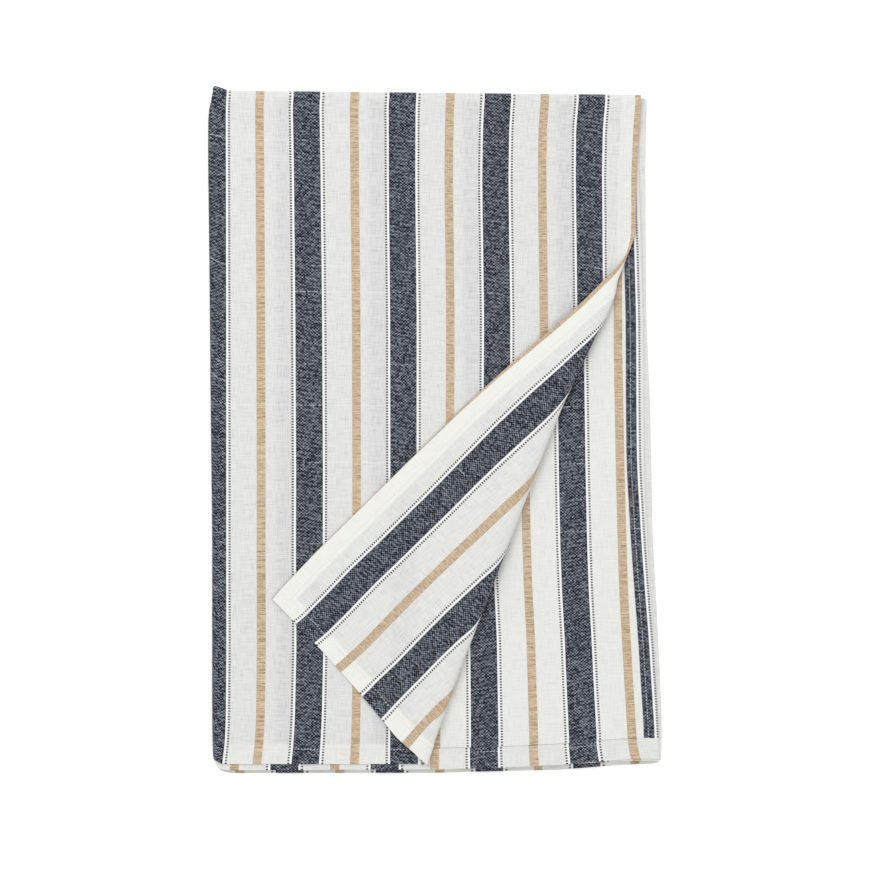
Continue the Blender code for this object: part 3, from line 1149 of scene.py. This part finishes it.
@dataclass(frozen=True)
class StripedCotton:
    """The cloth's own finish: plain-weave cotton with stripes in the warp, and a painted shadow along the
    hems' inner edges. Lengths are in millimetres.
    """

    name: str = "striped_cotton"
    stripes: StripeRepeat = field(default_factory=StripeRepeat)
    doubled: tuple = paint(239, 240, 233)
    gauze: tuple = paint(221, 221, 221)
    thread_shade: tuple = paint(120, 122, 132)
    bright: tuple = paint(244, 244, 244)
    navy_dark: tuple = paint(8, 13, 31)
    navy_light: tuple = paint(197, 207, 219)
    tan_dark: tuple = paint(158, 134, 106)
    tan_light: tuple = paint(220, 198, 170)
    dot: tuple = paint(14, 16, 32)
    # Painted shadow colour for the thin dark line along the hems' inner edges.
    hem_shadow_colour: tuple = paint(58, 56, 58)
    slub: tuple = paint(214, 216, 218)
    navy_flecks: Flecks = Flecks(base=0.12, check=0.25, bands=0.07, grain=0.38, picks=0.0)
    tan_flecks: Flecks = Flecks(base=0.6, check=0.12, bands=0.0, grain=0.35, picks=2.4)
    slub_width: float = 1.125
    slub_edge: tuple[float, float] = (0.25, 0.5)
    slub_picks: tuple[float, float] = (0.955, 0.985)
    slub_runs_per_mm: float = 0.016
    slub_run_edge: tuple[float, float] = (0.42, 0.6)
    slub_run_step: float = 7.3
    slubs_in_navy: float = 0.7
    slubs_in_pale: float = 0.4
    warp_yarn: float = 1.7
    weft_yarn: float = 1.5
    dot_yarn: float = 1.42
    dot_edge: tuple[float, float] = (-0.35, 0.2)
    dot_depth: tuple[float, float] = (0.8, 0.2)
    yarn_sway: float = 2.0
    wander_per_mm: tuple[float, float] = (0.06, 0.05)
    drift_per_mm: tuple[float, float] = (0.05, 0.09)
    grain_cell: tuple[float, float] = (2.1, 1.5)
    bands_per_mm: tuple[float, float] = (0.043, -0.2245)
    band_sway: float = 4.0
    bumps_per_mm: tuple[float, float] = (1.0, 0.06)
    thin_yarn: float = -0.1
    thread_speckle: float = 0.05
    thread_depth: tuple[float, float] = (0.6, 0.06)
    thread_shows: tuple[float, float] = (0.35, 0.75)
    soft_edge: float = 0.35
    # Painted shadow along the hems' inner edges: how far from the edge it fades, how much stronger it is over
    # tan, and its greatest share.
    hem_shadow_edge: tuple[float, float] = (0.15, 0.65)
    hem_shadow_in_tan: float = 2.0
    hem_shadow_most: float = 0.5
    roughness: float = 0.92
    specular: float = 0.25
    sheen: float = 0.15
    sheen_roughness: float = 0.5
    relief: float = 0.00012
    check_relief: float = 0.25
    grain_relief: float = 0.25
    slub_relief: float = 0.6
    pick_relief: float = 0.5

    def material(self) -> bpy.types.Material:
        """Builds the material."""
        nodes = ShaderNodes(self.name)
        across, along = nodes.place("stripes")
        s, v = across / MM, along / MM
        weave = self.weave(nodes, s, v)
        stripes, soft = self.stripes, self.soft_edge

        aside = abs(s.wrapped(stripes.repeat / 2))
        navy = 1 - aside.ramp(stripes.navy_half - soft, stripes.navy_half + soft)
        tan_edge = stripes.repeat / 2 - stripes.tan_half
        tan = aside.ramp(tan_edge - soft, tan_edge + soft)
        bright_end = stripes.navy_half + stripes.bright_width
        bright = (1 - aside.ramp(bright_end - soft, bright_end + soft)) * (1 - navy)
        from_dots = abs(aside - stripes.dotted_middle)
        dotted = 1 - from_dots.ramp(stripes.dotted_half - soft, stripes.dotted_half + soft)
        depth = self.dot_depth[0] + weave.grain * self.dot_depth[1]
        dots = (v * (math.pi / self.dot_yarn)).sine().ramp(*self.dot_edge) * depth

        blue = nodes.mix(self.navy_flecks.share(weave), self.navy_dark, self.navy_light)
        blue = nodes.mix(weave.slubs * weave.grain * self.slubs_in_navy, blue, self.slub)
        sand = nodes.mix(self.tan_flecks.share(weave), self.tan_dark, self.tan_light)
        sand = nodes.mix(weave.slubs * self.slubs_in_pale, sand, self.slub)
        colour = nodes.mix(bright, self.white(nodes, weave), self.bright)
        colour = nodes.mix(dotted * dots, colour, self.dot)
        colour = nodes.mix(tan, colour, sand)
        colour = nodes.mix(navy, colour, blue)
        # Painted shadow: a thin dark line along each hem's inner edge, where the turned hem's step would cast
        # shade, stronger over the tan stripes.
        inner_edge = 1 - abs(nodes.share("inside_hem")).ramp(*self.hem_shadow_edge)
        hem_step_shadow = nodes.share("hem_step_shadow") * inner_edge * (1 + tan * self.hem_shadow_in_tan)
        colour = nodes.mix(hem_step_shadow.least(self.hem_shadow_most), colour, self.hem_shadow_colour)

        nodes.link(colour, nodes.shader.inputs["Base Color"])
        nodes.constants({
            "Roughness": self.roughness,
            "Metallic": 0.0,
            "Specular IOR Level": self.specular,
            "Sheen Weight": self.sheen,
            "Sheen Roughness": self.sheen_roughness,
        })
        relief = weave.check * self.check_relief + weave.grain * self.grain_relief
        relief = relief + weave.slubs * self.slub_relief + weave.picks * self.pick_relief
        nodes.bump(relief, self.relief)
        return nodes.material

    def weave(self, nodes: ShaderNodes, s: Wire, v: Wire) -> Weave:
        """Lays out the grain of the weave.

        Args:
            nodes: The material's nodes.
            s: Places across the stripes.
            v: Places along them.

        Returns:
            The grain's parts.
        """
        wander = nodes.noise(s * self.wander_per_mm[0], v * self.wander_per_mm[1], detail=1.0, seed=5.0) - 0.5
        drift = nodes.noise(s * self.drift_per_mm[0], v * self.drift_per_mm[1], detail=1.0, seed=9.0) - 0.5
        warp = ((s + wander * self.yarn_sway) * (math.pi / self.warp_yarn)).sine()
        weft = ((v + drift * self.yarn_sway) * (math.pi / self.weft_yarn)).sine()
        wide, tall = self.grain_cell
        fine, coarse = self.bumps_per_mm
        slant = s * self.bands_per_mm[0] + v * self.bands_per_mm[1]
        return Weave(
            check=warp * weft,
            bands=(slant * math.tau + wander * self.band_sway).sine(),
            grain=nodes.speckle(s / wide, v / tall),
            picks=nodes.noise(s * coarse, v * fine, detail=1.0),
            yarns=nodes.noise(s * fine, v * coarse, detail=1.0, seed=7.0),
            slubs=self.slubs(nodes, s, v),
        )

    def white(self, nodes: ShaderNodes, weave: Weave) -> Wire:
        """The white ground, greyer where it lies thin and along its thin yarns.

        Args:
            nodes: The material's nodes.
            weave: The grain's parts.

        Returns:
            The colour.
        """
        see_through = nodes.share("see_through")
        ground = nodes.mix(see_through, self.doubled, self.gauze)
        yarns = (weave.yarns - 0.5).most(self.thin_yarn)
        picks = (weave.picks - 0.5).most(self.thin_yarn)
        threads = yarns + picks + (weave.grain - 0.5) * self.thread_speckle
        slope, offset = self.thread_depth
        doubled_shows, thin_adds = self.thread_shows
        shade = (threads * slope + offset) * (doubled_shows + see_through * thin_adds)
        shaded = nodes.mix(shade.most(0.0).least(1.0), ground, self.thread_shade)
        return nodes.mix(weave.slubs * self.slubs_in_pale, shaded, self.bright)

    def slubs(self, nodes: ShaderNodes, s: Wire, v: Wire) -> Wire:
        """Thick places in the weft: short pale lines across the stripes, here and there.

        Args:
            nodes: The material's nodes.
            s: Places across the stripes.
            v: Places along them.

        Returns:
            1 on the lines.
        """
        pick = v / self.slub_width
        settings = {"noise_dimensions": "1D"}
        stretch = nodes.add("ShaderNodeTexWhiteNoise", settings, {"W": pick.floor()}, "Value")
        line = 1 - abs((pick - pick.floor()) - 0.5).ramp(*self.slub_edge)
        runs = nodes.noise(s * self.slub_runs_per_mm, pick.floor() * self.slub_run_step, seed=11.0)
        return stretch.ramp(*self.slub_picks) * line * runs.ramp(*self.slub_run_edge)


@dataclass
class Tablecloth:
    """The cloth's mesh: both sides of the folded sheet, joined round its edge."""

    sheet: FoldedSheet = field(default_factory=FoldedSheet)
    finish: StripedCotton = field(default_factory=StripedCotton)
    top_cell: float = 4.5
    hidden_cell: float = 45.0
    beside_fold: tuple[float, ...] = (4.0, 8.0, 13.0, 19.0, 27.0)
    beside_bend: tuple[float, ...] = (4.0, 10.0, 18.0)
    fold_steps: int = 7
    bend_steps: int = 10
    far_cell: float = 30.0
    hem_cell: float = 4.0
    hem_clear: float = 1.0
    roll_cell: float = 3.0
    roll_reach: float = 24.0
    roll_margin: float = 8.0
    roll_snap: float = 0.4
    second_shown_from: float = 190.0
    # How dark the painted shadow along the hems' inner edges is: faint on most hems, strongest on the second
    # layer's near end hem.
    hem_step_shadow: float = 0.08
    end_hem_step_shadow: float = 0.34
    thin_face: float = 0.62
    thin_flap: float = 0.5
    thin_second: float = 0.25
    thin_second_hem: float = 0.45
    thin_face_hem: float = 0.3
    under_flap_share: float = 0.4
    thin_blur: float = 4.0
    thin_hem_edge: tuple[float, float] = (-1.0, 0.0)
    flap_lies_flat: tuple[float, float] = (20.0, 60.0)
    sharp_from: float = 50.0
    shift: np.ndarray = field(default_factory=lambda: np.zeros(3))

    def lines_within(self, length: float, cell: float) -> np.ndarray:
        """Evenly spaced lines over a length, none at its start and one at its end."""
        steps = max(1, round(length / cell))
        return np.linspace(0.0, length, steps + 1)[1:]

    def hem_lines(self) -> list[float]:
        """Lines beside a hemmed edge, close together at the hem's step."""
        cut = self.sheet.cut
        near, clear = self.hem_cell / 2, self.hem_clear
        inner = cut.hem_width + cut.hem_step
        lines = list(np.arange(self.hem_cell, cut.hem_width - near, self.hem_cell))
        return [*lines, cut.hem_width - clear, cut.hem_width, inner, inner + clear]

    def across_lines(self) -> np.ndarray:
        """Where the sheet is divided across its width."""
        cut = self.sheet.cut
        hem = self.hem_lines()
        clear = hem[-1] + self.hem_clear
        lines = [0.0, *hem, *(cut.width - line for line in hem), cut.width]
        for stretch in Stretch:
            start, length = cut.starts[stretch], cut.lengths[stretch]
            beside_fold = self.beside_fold
            if stretch is Stretch.THIRD:
                beside_fold = [length - place for place in beside_fold]
            if length < cut.layer_width:
                places = self.lines_within(length, length / self.fold_steps)
            elif stretch is Stretch.TOP:
                places = [place for place in self.lines_within(length, self.top_cell) if place > clear]
            elif stretch is Stretch.SECOND:
                hidden = self.second_shown_from
                shown = hidden + self.lines_within(length - hidden, self.top_cell)
                places = [*beside_fold, *self.lines_within(hidden, self.hidden_cell)]
                places += [place for place in shown if start + place < cut.width - clear]
            else:
                places = [*beside_fold, *self.lines_within(length, self.hidden_cell)]
            lines += [start + place for place in places]
        return np.array(sorted({round(line, 4) for line in lines}))

    def up_lines(self) -> np.ndarray:
        """Where the sheet is divided along its length."""
        cut = self.sheet.cut
        hem = self.hem_lines()
        clear = hem[-1] + self.hem_clear
        half, bend, far_start = cut.half_length, cut.bend_length, cut.half_length + cut.bend_length
        near = [place for place in self.lines_within(half, self.top_cell) if place > clear]
        over_fold = [half + place for place in self.lines_within(bend, bend / self.bend_steps)]
        far = [place for place in self.lines_within(half, self.far_cell) if place < half - clear]
        beyond = [far_start + place for place in (*self.beside_bend, *far)]
        ends = [0.0, *hem, *(cut.length - line for line in hem), cut.length]
        return np.array(sorted({round(line, 4) for line in [*ends, *near, *over_fold, *beyond]}))

    def divided(self) -> tuple[np.ndarray, list[list[int]], list[tuple[int, int]]]:
        """The flat cloth, divided where it folds and rolls.

        Returns:
            Flat places, faces, and the edge's pairs of points in the order that their faces run.
        """
        columns, levels = self.across_lines(), self.up_lines()
        grid = np.stack(np.meshgrid(columns, levels, indexing="ij"), axis=-1).reshape(-1, 2)
        points = np.concatenate((grid, np.zeros((len(grid), 1))), axis=1)
        corner = np.arange(len(grid)).reshape(len(columns), len(levels))
        quads = np.stack((corner[:-1, :-1], corner[:-1, 1:], corner[1:, 1:], corner[1:, :-1]), axis=-1)
        flat = bpy.data.meshes.new("flat_cloth")
        flat.from_pydata(points.tolist(), [], quads.reshape(-1, 4).tolist())
        grown = bmesh.new()
        grown.from_mesh(flat)
        bpy.data.meshes.remove(flat)
        self.cut_roll(grown)
        grown.verts.index_update()
        places = np.stack(self.sheet.cut.eased(*np.array([vert.co[:2] for vert in grown.verts]).T), axis=-1)
        faces = [[vert.index for vert in face.verts] for face in grown.faces]
        rim = []
        for edge in grown.edges:
            if edge.is_boundary:
                loop = edge.link_loops[0]
                rim.append((loop.vert.index, loop.link_loop_next.vert.index))
        grown.free()
        return places, faces, rim

    def cut_roll(self, flat: bmesh.types.BMesh) -> None:
        """Divides the flat sheet along lines beside the crease, close together where it rolls.

        Args:
            flat: The flat sheet, which is changed.
        """
        cut, sheet = self.sheet.cut, self.sheet
        top, _, out = sheet.crease()
        centres = np.array([face.calc_center_median()[:2] for face in flat.faces])
        beyond = sheet.beyond_crease(centres[:, 0], centres[:, 1])
        near = (centres[:, 0] < cut.layer_width) & (centres[:, 1] < cut.half_length)
        chosen = near & (abs(beyond) < self.roll_reach + self.roll_margin)
        flat.faces.ensure_lookup_table()
        marked = {flat.faces[i] for i in np.flatnonzero(chosen)}
        for step in np.arange(-self.roll_reach, self.roll_reach + self.roll_cell / 2, self.roll_cell):
            on_line = top + step * out
            faces = list(dict.fromkeys(face for face in marked if face.is_valid))
            parts = faces + list(dict.fromkeys(edge for face in faces for edge in face.edges))
            parts += list(dict.fromkeys(vert for face in faces for vert in face.verts))
            made = bmesh.ops.bisect_plane(
                flat,
                geom=parts,
                dist=self.roll_snap,
                plane_co=(cut.layer_width - on_line[0], on_line[1], 0.0),
                plane_no=(-out[0], out[1], 0.0),
            )
            marked = {item for item in made["geom"] if isinstance(item, bmesh.types.BMFace)}
        rolled = [face for face in marked if face.is_valid]
        bmesh.ops.triangulate(flat, faces=rolled)

    def build(self) -> bpy.types.Object:
        """Makes the mesh with its places, shares and finish."""
        places, faces, rim = self.divided()
        across, up = places[:, 0], places[:, 1]
        face_side, reverse_side = self.sheet.sides(across, up)
        points = np.concatenate((face_side, reverse_side))
        self.shift = self.centring(points)
        points = (points + self.shift) * MM
        count = len(places)
        shell = faces + [[i + count for i in reversed(face)] for face in faces]
        shell += [[j, i, i + count, j + count] for i, j in rim]
        mesh = bpy.data.meshes.new("folded_tablecloth")
        mesh.from_pydata(points.tolist(), [], shell)
        self.dress(mesh, across, up)
        mesh.shade_smooth()
        mesh.set_sharp_from_angle(angle=math.radians(self.sharp_from))
        mesh.materials.append(self.finish.material())
        cloth = bpy.data.objects.new("folded_tablecloth", mesh)
        bpy.context.scene.collection.objects.link(cloth)
        return cloth

    def centring(self, points: np.ndarray) -> np.ndarray:
        """What brings the cloth's box over the solid's.

        Args:
            points: The cloth's points, in millimetres.

        Returns:
            How far they move, in millimetres.
        """
        low, high = (np.array(corner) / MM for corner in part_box("tablecloth"))
        middle = (low + high) / 2 - (points.min(axis=0) + points.max(axis=0)) / 2
        return np.array((middle[0], middle[1], low[2] - points[:, 2].min()))

    def dress(self, mesh: bpy.types.Mesh, across: np.ndarray, up: np.ndarray) -> None:
        """Gives the mesh its places on the cut and in the stripe repeat.

        Args:
            mesh: The cloth's mesh, its face side's points before its reverse's.
            across: Each flat point's distance across the cut.
            up: Each flat point's distance up the cut.
        """
        cut = self.sheet.cut
        count = len(across)
        lying = self.sheet.fold(across, up, False)
        stripe_map = StripeMap(self.sheet)
        body = stripe_map.body(across, up, lying)
        side, end = stripe_map.hems(across, up, lying, body)
        coordinate = {Band.BODY: body, Band.SIDE_HEM: side, Band.END_HEM: end}

        corners = np.empty(len(mesh.loops), dtype=np.int32)
        mesh.loops.foreach_get("vertex_index", corners)
        totals = np.empty(len(mesh.polygons), dtype=np.int32)
        mesh.polygons.foreach_get("loop_total", totals)
        owner = np.repeat(np.arange(len(totals)), totals)
        flat = corners % count
        middles = [np.bincount(owner, weights=value[flat]) / totals for value in (across, up)]
        reverse = np.bincount(owner, weights=corners >= count) == totals
        from_side, from_end = cut.from_edges(*middles)
        hemmed_side = from_side < cut.side_hem(*middles)
        hemmed_end = from_end < cut.end_hem(*middles)
        side_over_end = hemmed_side & ((middles[0] < cut.width / 2) | ~hemmed_end)
        band = np.where(reverse & hemmed_end, Band.END_HEM.value, Band.BODY.value)
        band = np.where(reverse & side_over_end, Band.SIDE_HEM.value, band)[owner]
        stripe = np.select([band == kind.value for kind in Band], [coordinate[kind][flat] for kind in Band])
        self.place_layer(mesh, "stripes", stripe, up[flat])
        self.share_layer(mesh, "see_through", self.see_through(across, up, lying, stripe_map))
        self.share_layer(mesh, "inside_hem", np.tile(cut.inside_hem(across, up), 2))
        # The painted hem shadow lies on the reverse only, strongest on the second layer's near end hem.
        last_end = (across > cut.starts[Stretch.SECOND]) & (up < cut.half_length)
        last_end &= cut.length - cut.width + across < cut.length - up
        darkest = np.where(last_end, self.end_hem_step_shadow, self.hem_step_shadow)
        self.share_layer(mesh, "hem_step_shadow", np.concatenate((np.zeros_like(darkest), darkest)))

    def see_through(
        self, across: np.ndarray, up: np.ndarray, lying: np.ndarray, stripe_map: StripeMap
    ) -> np.ndarray:
        """How thin the white cloth looks: most over the navy stripes beneath.

        Args:
            across: Distances across the cut.
            up: Distances up it.
            lying: Places in the stack with no corner turned back.
            stripe_map: Where the stripes lie.

        Returns:
            The share for each point of the face, then for each of the reverse.
        """
        cut, sheet = self.sheet.cut, self.sheet
        top_near = (sheet.stretch_index(across) == 0) & (up < cut.half_length)
        half, navy, blur = stripe_map.stripes.repeat / 2, stripe_map.stripes.navy_half, self.thin_blur

        def beneath(coordinate: np.ndarray) -> np.ndarray:
            """1 over a navy stripe, 0 beside it."""
            return 1 - rise(abs((coordinate + half) % (2 * half) - half), navy - blur, navy + blur)

        under_face = beneath(stripe_map.second(*lying[:, :2].T, up > cut.half_length)) * top_near
        settled = rise(sheet.beyond_crease(across, up), *self.flap_lies_flat) * top_near
        under_flap = beneath(stripe_map.top(*sheet.fold(across, up)[:, :2].T)) * settled
        hem = rise(cut.inside_hem(across, up), *self.thin_hem_edge)
        face = self.thin_face + (1 - self.thin_face) * under_face * (1 - settled)
        face += (self.thin_face_hem - face) * hem
        flap = (self.thin_flap + (1 - self.thin_flap) * under_flap * self.under_flap_share) * (1 - hem)
        second = self.thin_second + (self.thin_second_hem - self.thin_second) * hem
        return np.concatenate((face, np.where(across < cut.width / 2, flap, second)))

    def place_layer(self, mesh: bpy.types.Mesh, name: str, first: np.ndarray, second: np.ndarray) -> None:
        """Adds a layer of two coordinates, a pair for each face corner, which it keeps in metres.

        Args:
            mesh: The cloth's mesh.
            name: The layer's name.
            first: The first coordinate, in millimetres.
            second: The second coordinate, in millimetres.
        """
        layer = mesh.uv_layers.new(name=name)
        pairs = np.stack((first, second), axis=-1) * MM
        layer.data.foreach_set("uv", pairs.astype(np.float32).ravel())

    def share_layer(self, mesh: bpy.types.Mesh, name: str, values: np.ndarray) -> None:
        """Adds a named value for each point."""
        layer = mesh.attributes.new(name, "FLOAT", "POINT")
        layer.data.foreach_set("value", values.astype(np.float32))


@dataclass
class HemStitching:
    """The white machine stitches along the inner edge of all four hems, on both sides."""

    sheet: FoldedSheet
    shift: np.ndarray
    inset: float = 4.8
    stitch: float = 2.6
    gap: float = 0.7
    half_width: float = 0.24
    tip: float = 0.5
    shoulder: float = 0.3
    proud: float = 0.05
    edge_share: float = 0.4
    sunk: float = -0.12
    colour: tuple = paint(242, 243, 242)
    twist_colour: tuple = paint(226, 226, 222)
    twists_per_metre: float = 1800.0
    roughness: float = 0.8
    relief: float = 0.00005

    def routes(self) -> list[tuple[np.ndarray, np.ndarray, tuple[float, float]]]:
        """The four stitch lines: places across and up of each stitch's middle, and its direction."""
        cut = self.sheet.cut
        pitch = self.stitch + self.gap
        from_end = cut.hem_width - self.inset
        wide = np.arange(from_end, cut.width - from_end, pitch)
        tall = np.arange(from_end, cut.length - from_end, pitch)
        near, far = (cut.end_hem(wide, np.full_like(wide, up)) - self.inset for up in (0.0, cut.length))
        first, last = (
            cut.side_hem(np.full_like(tall, across), tall) - self.inset for across in (0.0, cut.width)
        )
        return [
            (wide, near, (1.0, 0.0)),
            (wide, cut.length - far, (1.0, 0.0)),
            (first, tall, (0.0, 1.0)),
            (cut.width - last, tall, (0.0, 1.0)),
        ]

    def build(self) -> bpy.types.Object:
        """Makes all the stitches as one mesh of short flat lozenges that dip into the cloth at both ends."""
        end, shoulder, root = self.tip, self.shoulder, self.sunk
        low = self.proud * self.edge_share
        ridge = [(1.0, low), (0.0, self.proud), (-1.0, low)]
        profile = (
            (-end, 0.0, root),
            *((along, *point) for along in (-shoulder, shoulder) for point in ridge),
            (end, 0.0, root),
            (-shoulder, 0.0, root),
            (shoulder, 0.0, root),
        )
        faces = (
            (0, 1, 2), (0, 2, 3), (1, 4, 5, 2), (2, 5, 6, 3), (7, 5, 4), (7, 6, 5),
            (0, 8, 1), (0, 3, 8), (1, 8, 9, 4), (3, 6, 9, 8), (7, 4, 9), (7, 9, 6),
        )
        points, loops = [], []
        start = 0
        for across, up, (way_x, way_y) in self.routes():
            count = len(across)
            for side in (0, 1):
                rings = []
                for along, beside, lifted in profile:
                    a = across + along * self.stitch * way_x - beside * self.half_width * way_y
                    u = up + along * self.stitch * way_y + beside * self.half_width * way_x
                    rings.append(self.sheet.sides(a, u, lifted)[side])
                stacked = np.stack(rings, axis=1).reshape(-1, 3)
                points.append(stacked)
                for number in range(count):
                    first = start + number * len(profile)
                    for face in faces:
                        ordered = face if side == 1 else tuple(reversed(face))
                        loops.append([first + i for i in ordered])
                start += len(stacked)
        mesh = bpy.data.meshes.new("hem_stitching")
        mesh.from_pydata(((np.concatenate(points) + self.shift) * MM).tolist(), [], loops)
        mesh.shade_smooth()
        mesh.materials.append(self.thread())
        stitching = bpy.data.objects.new("hem_stitching", mesh)
        bpy.context.scene.collection.objects.link(stitching)
        return stitching

    def thread(self) -> bpy.types.Material:
        """White sewing cotton with a fine twist."""
        nodes = ShaderNodes("sewing_cotton")
        place = nodes.add("ShaderNodeTexCoord", {}, {}, "Object")
        sockets = {"Vector": place, "Scale": self.twists_per_metre, "Detail": 1.0}
        twist = nodes.add("ShaderNodeTexNoise", {"noise_dimensions": "3D"}, sockets, "Fac")
        nodes.link(nodes.mix(twist, self.colour, self.twist_colour), nodes.shader.inputs["Base Color"])
        nodes.constants({"Roughness": self.roughness})
        nodes.bump(twist, self.relief)
        return nodes.material


@dataclass(frozen=True)
class Lamp:
    """One large soft lamp that looks at the cloth, in metres and watts."""

    name: str
    place: tuple[float, float, float]
    size: float
    power: float

    def hang(self) -> None:
        """Hangs the lamp."""
        data = bpy.data.lights.new(self.name, "AREA")
        data.shape = "SQUARE"
        data.size = self.size
        data.energy = self.power
        lamp = bpy.data.objects.new(self.name, data)
        lamp.location = self.place
        lamp.rotation_euler = (-Vector(self.place)).to_track_quat("-Z", "Y").to_euler()
        bpy.context.scene.collection.objects.link(lamp)


@dataclass
class Studio:
    """A plain white floor that glows a little, soft light and a camera straight above the cloth."""

    frame_width: float = 0.910
    framed_height: float = 0.0155
    camera_height: float = 5.2
    camera_reach: float = 50.0
    sensor: float = 36.0
    view_shift: tuple[float, float] = (-0.75, -5.5)
    floor_size: float = 12.0
    floor_colour: tuple = paint(250, 250, 250)
    floor_glow: float = 0.3
    sky: float = 0.68
    lamps: tuple[Lamp, ...] = (
        Lamp("key", (-0.9, 1.1, 2.2), size=1.6, power=23.5),
        Lamp("fill", (1.3, -0.8, 2.4), size=2.2, power=11.0),
    )

    def floor(self) -> None:
        """Lays the floor that the cloth lies on."""
        half = self.floor_size / 2
        mesh = bpy.data.meshes.new("floor")
        corners = [(-half, -half, 0.0), (half, -half, 0.0), (half, half, 0.0), (-half, half, 0.0)]
        mesh.from_pydata(corners, [], [(0, 1, 2, 3)])
        nodes = ShaderNodes("pale_floor")
        nodes.constants({
            "Base Color": self.floor_colour,
            "Roughness": 0.9,
            "Specular IOR Level": 0.1,
            "Emission Color": self.floor_colour,
            "Emission Strength": self.floor_glow,
        })
        mesh.materials.append(nodes.material)
        floor = bpy.data.objects.new("floor", mesh)
        floor.location.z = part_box("tablecloth")[0][2]
        bpy.context.scene.collection.objects.link(floor)

    def camera(self, shift: np.ndarray) -> None:
        """Hangs the camera over the cloth. At the top layer's height its picture is frame_width wide.

        Args:
            shift: How far the cloth was moved to lie over the solid, in millimetres.
        """
        data = bpy.data.cameras.new("overhead")
        data.sensor_width = self.sensor
        data.lens = self.sensor * (self.camera_height - self.framed_height) / self.frame_width
        data.clip_end = self.camera_reach
        camera = bpy.data.objects.new("overhead", data)
        place = (np.array((*self.view_shift, 0.0)) + shift) * MM
        camera.location = (place[0], place[1], self.camera_height)
        bpy.context.scene.collection.objects.link(camera)
        bpy.context.scene.camera = camera

    def light(self) -> None:
        """Lights the cloth softly from all round, a little more from the upper left."""
        bpy.context.scene.view_settings.view_transform = "Standard"
        world = bpy.data.worlds.new("studio")
        world.use_nodes = True
        background = world.node_tree.nodes["Background"]
        background.inputs["Color"].default_value = (1.0, 1.0, 1.0, 1.0)
        background.inputs["Strength"].default_value = self.sky
        bpy.context.scene.world = world
        for lamp in self.lamps:
            lamp.hang()


def main() -> None:
    """Builds the cloth, its stitching and the studio, and hands them to the frame."""
    logging.basicConfig(level=logging.INFO, format="%(message)s")
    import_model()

    tablecloth = Tablecloth()
    cloth = tablecloth.build()
    stitching = HemStitching(tablecloth.sheet, tablecloth.shift).build()
    for piece in (cloth, stitching):
        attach(piece, "root")
        LOG.info("%s: %d points, %d faces", piece.name, len(piece.data.vertices), len(piece.data.polygons))
    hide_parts("tablecloth")

    studio = Studio()
    studio.floor()
    studio.camera(tablecloth.shift)
    studio.light()


if __name__ == "__main__":
    main()
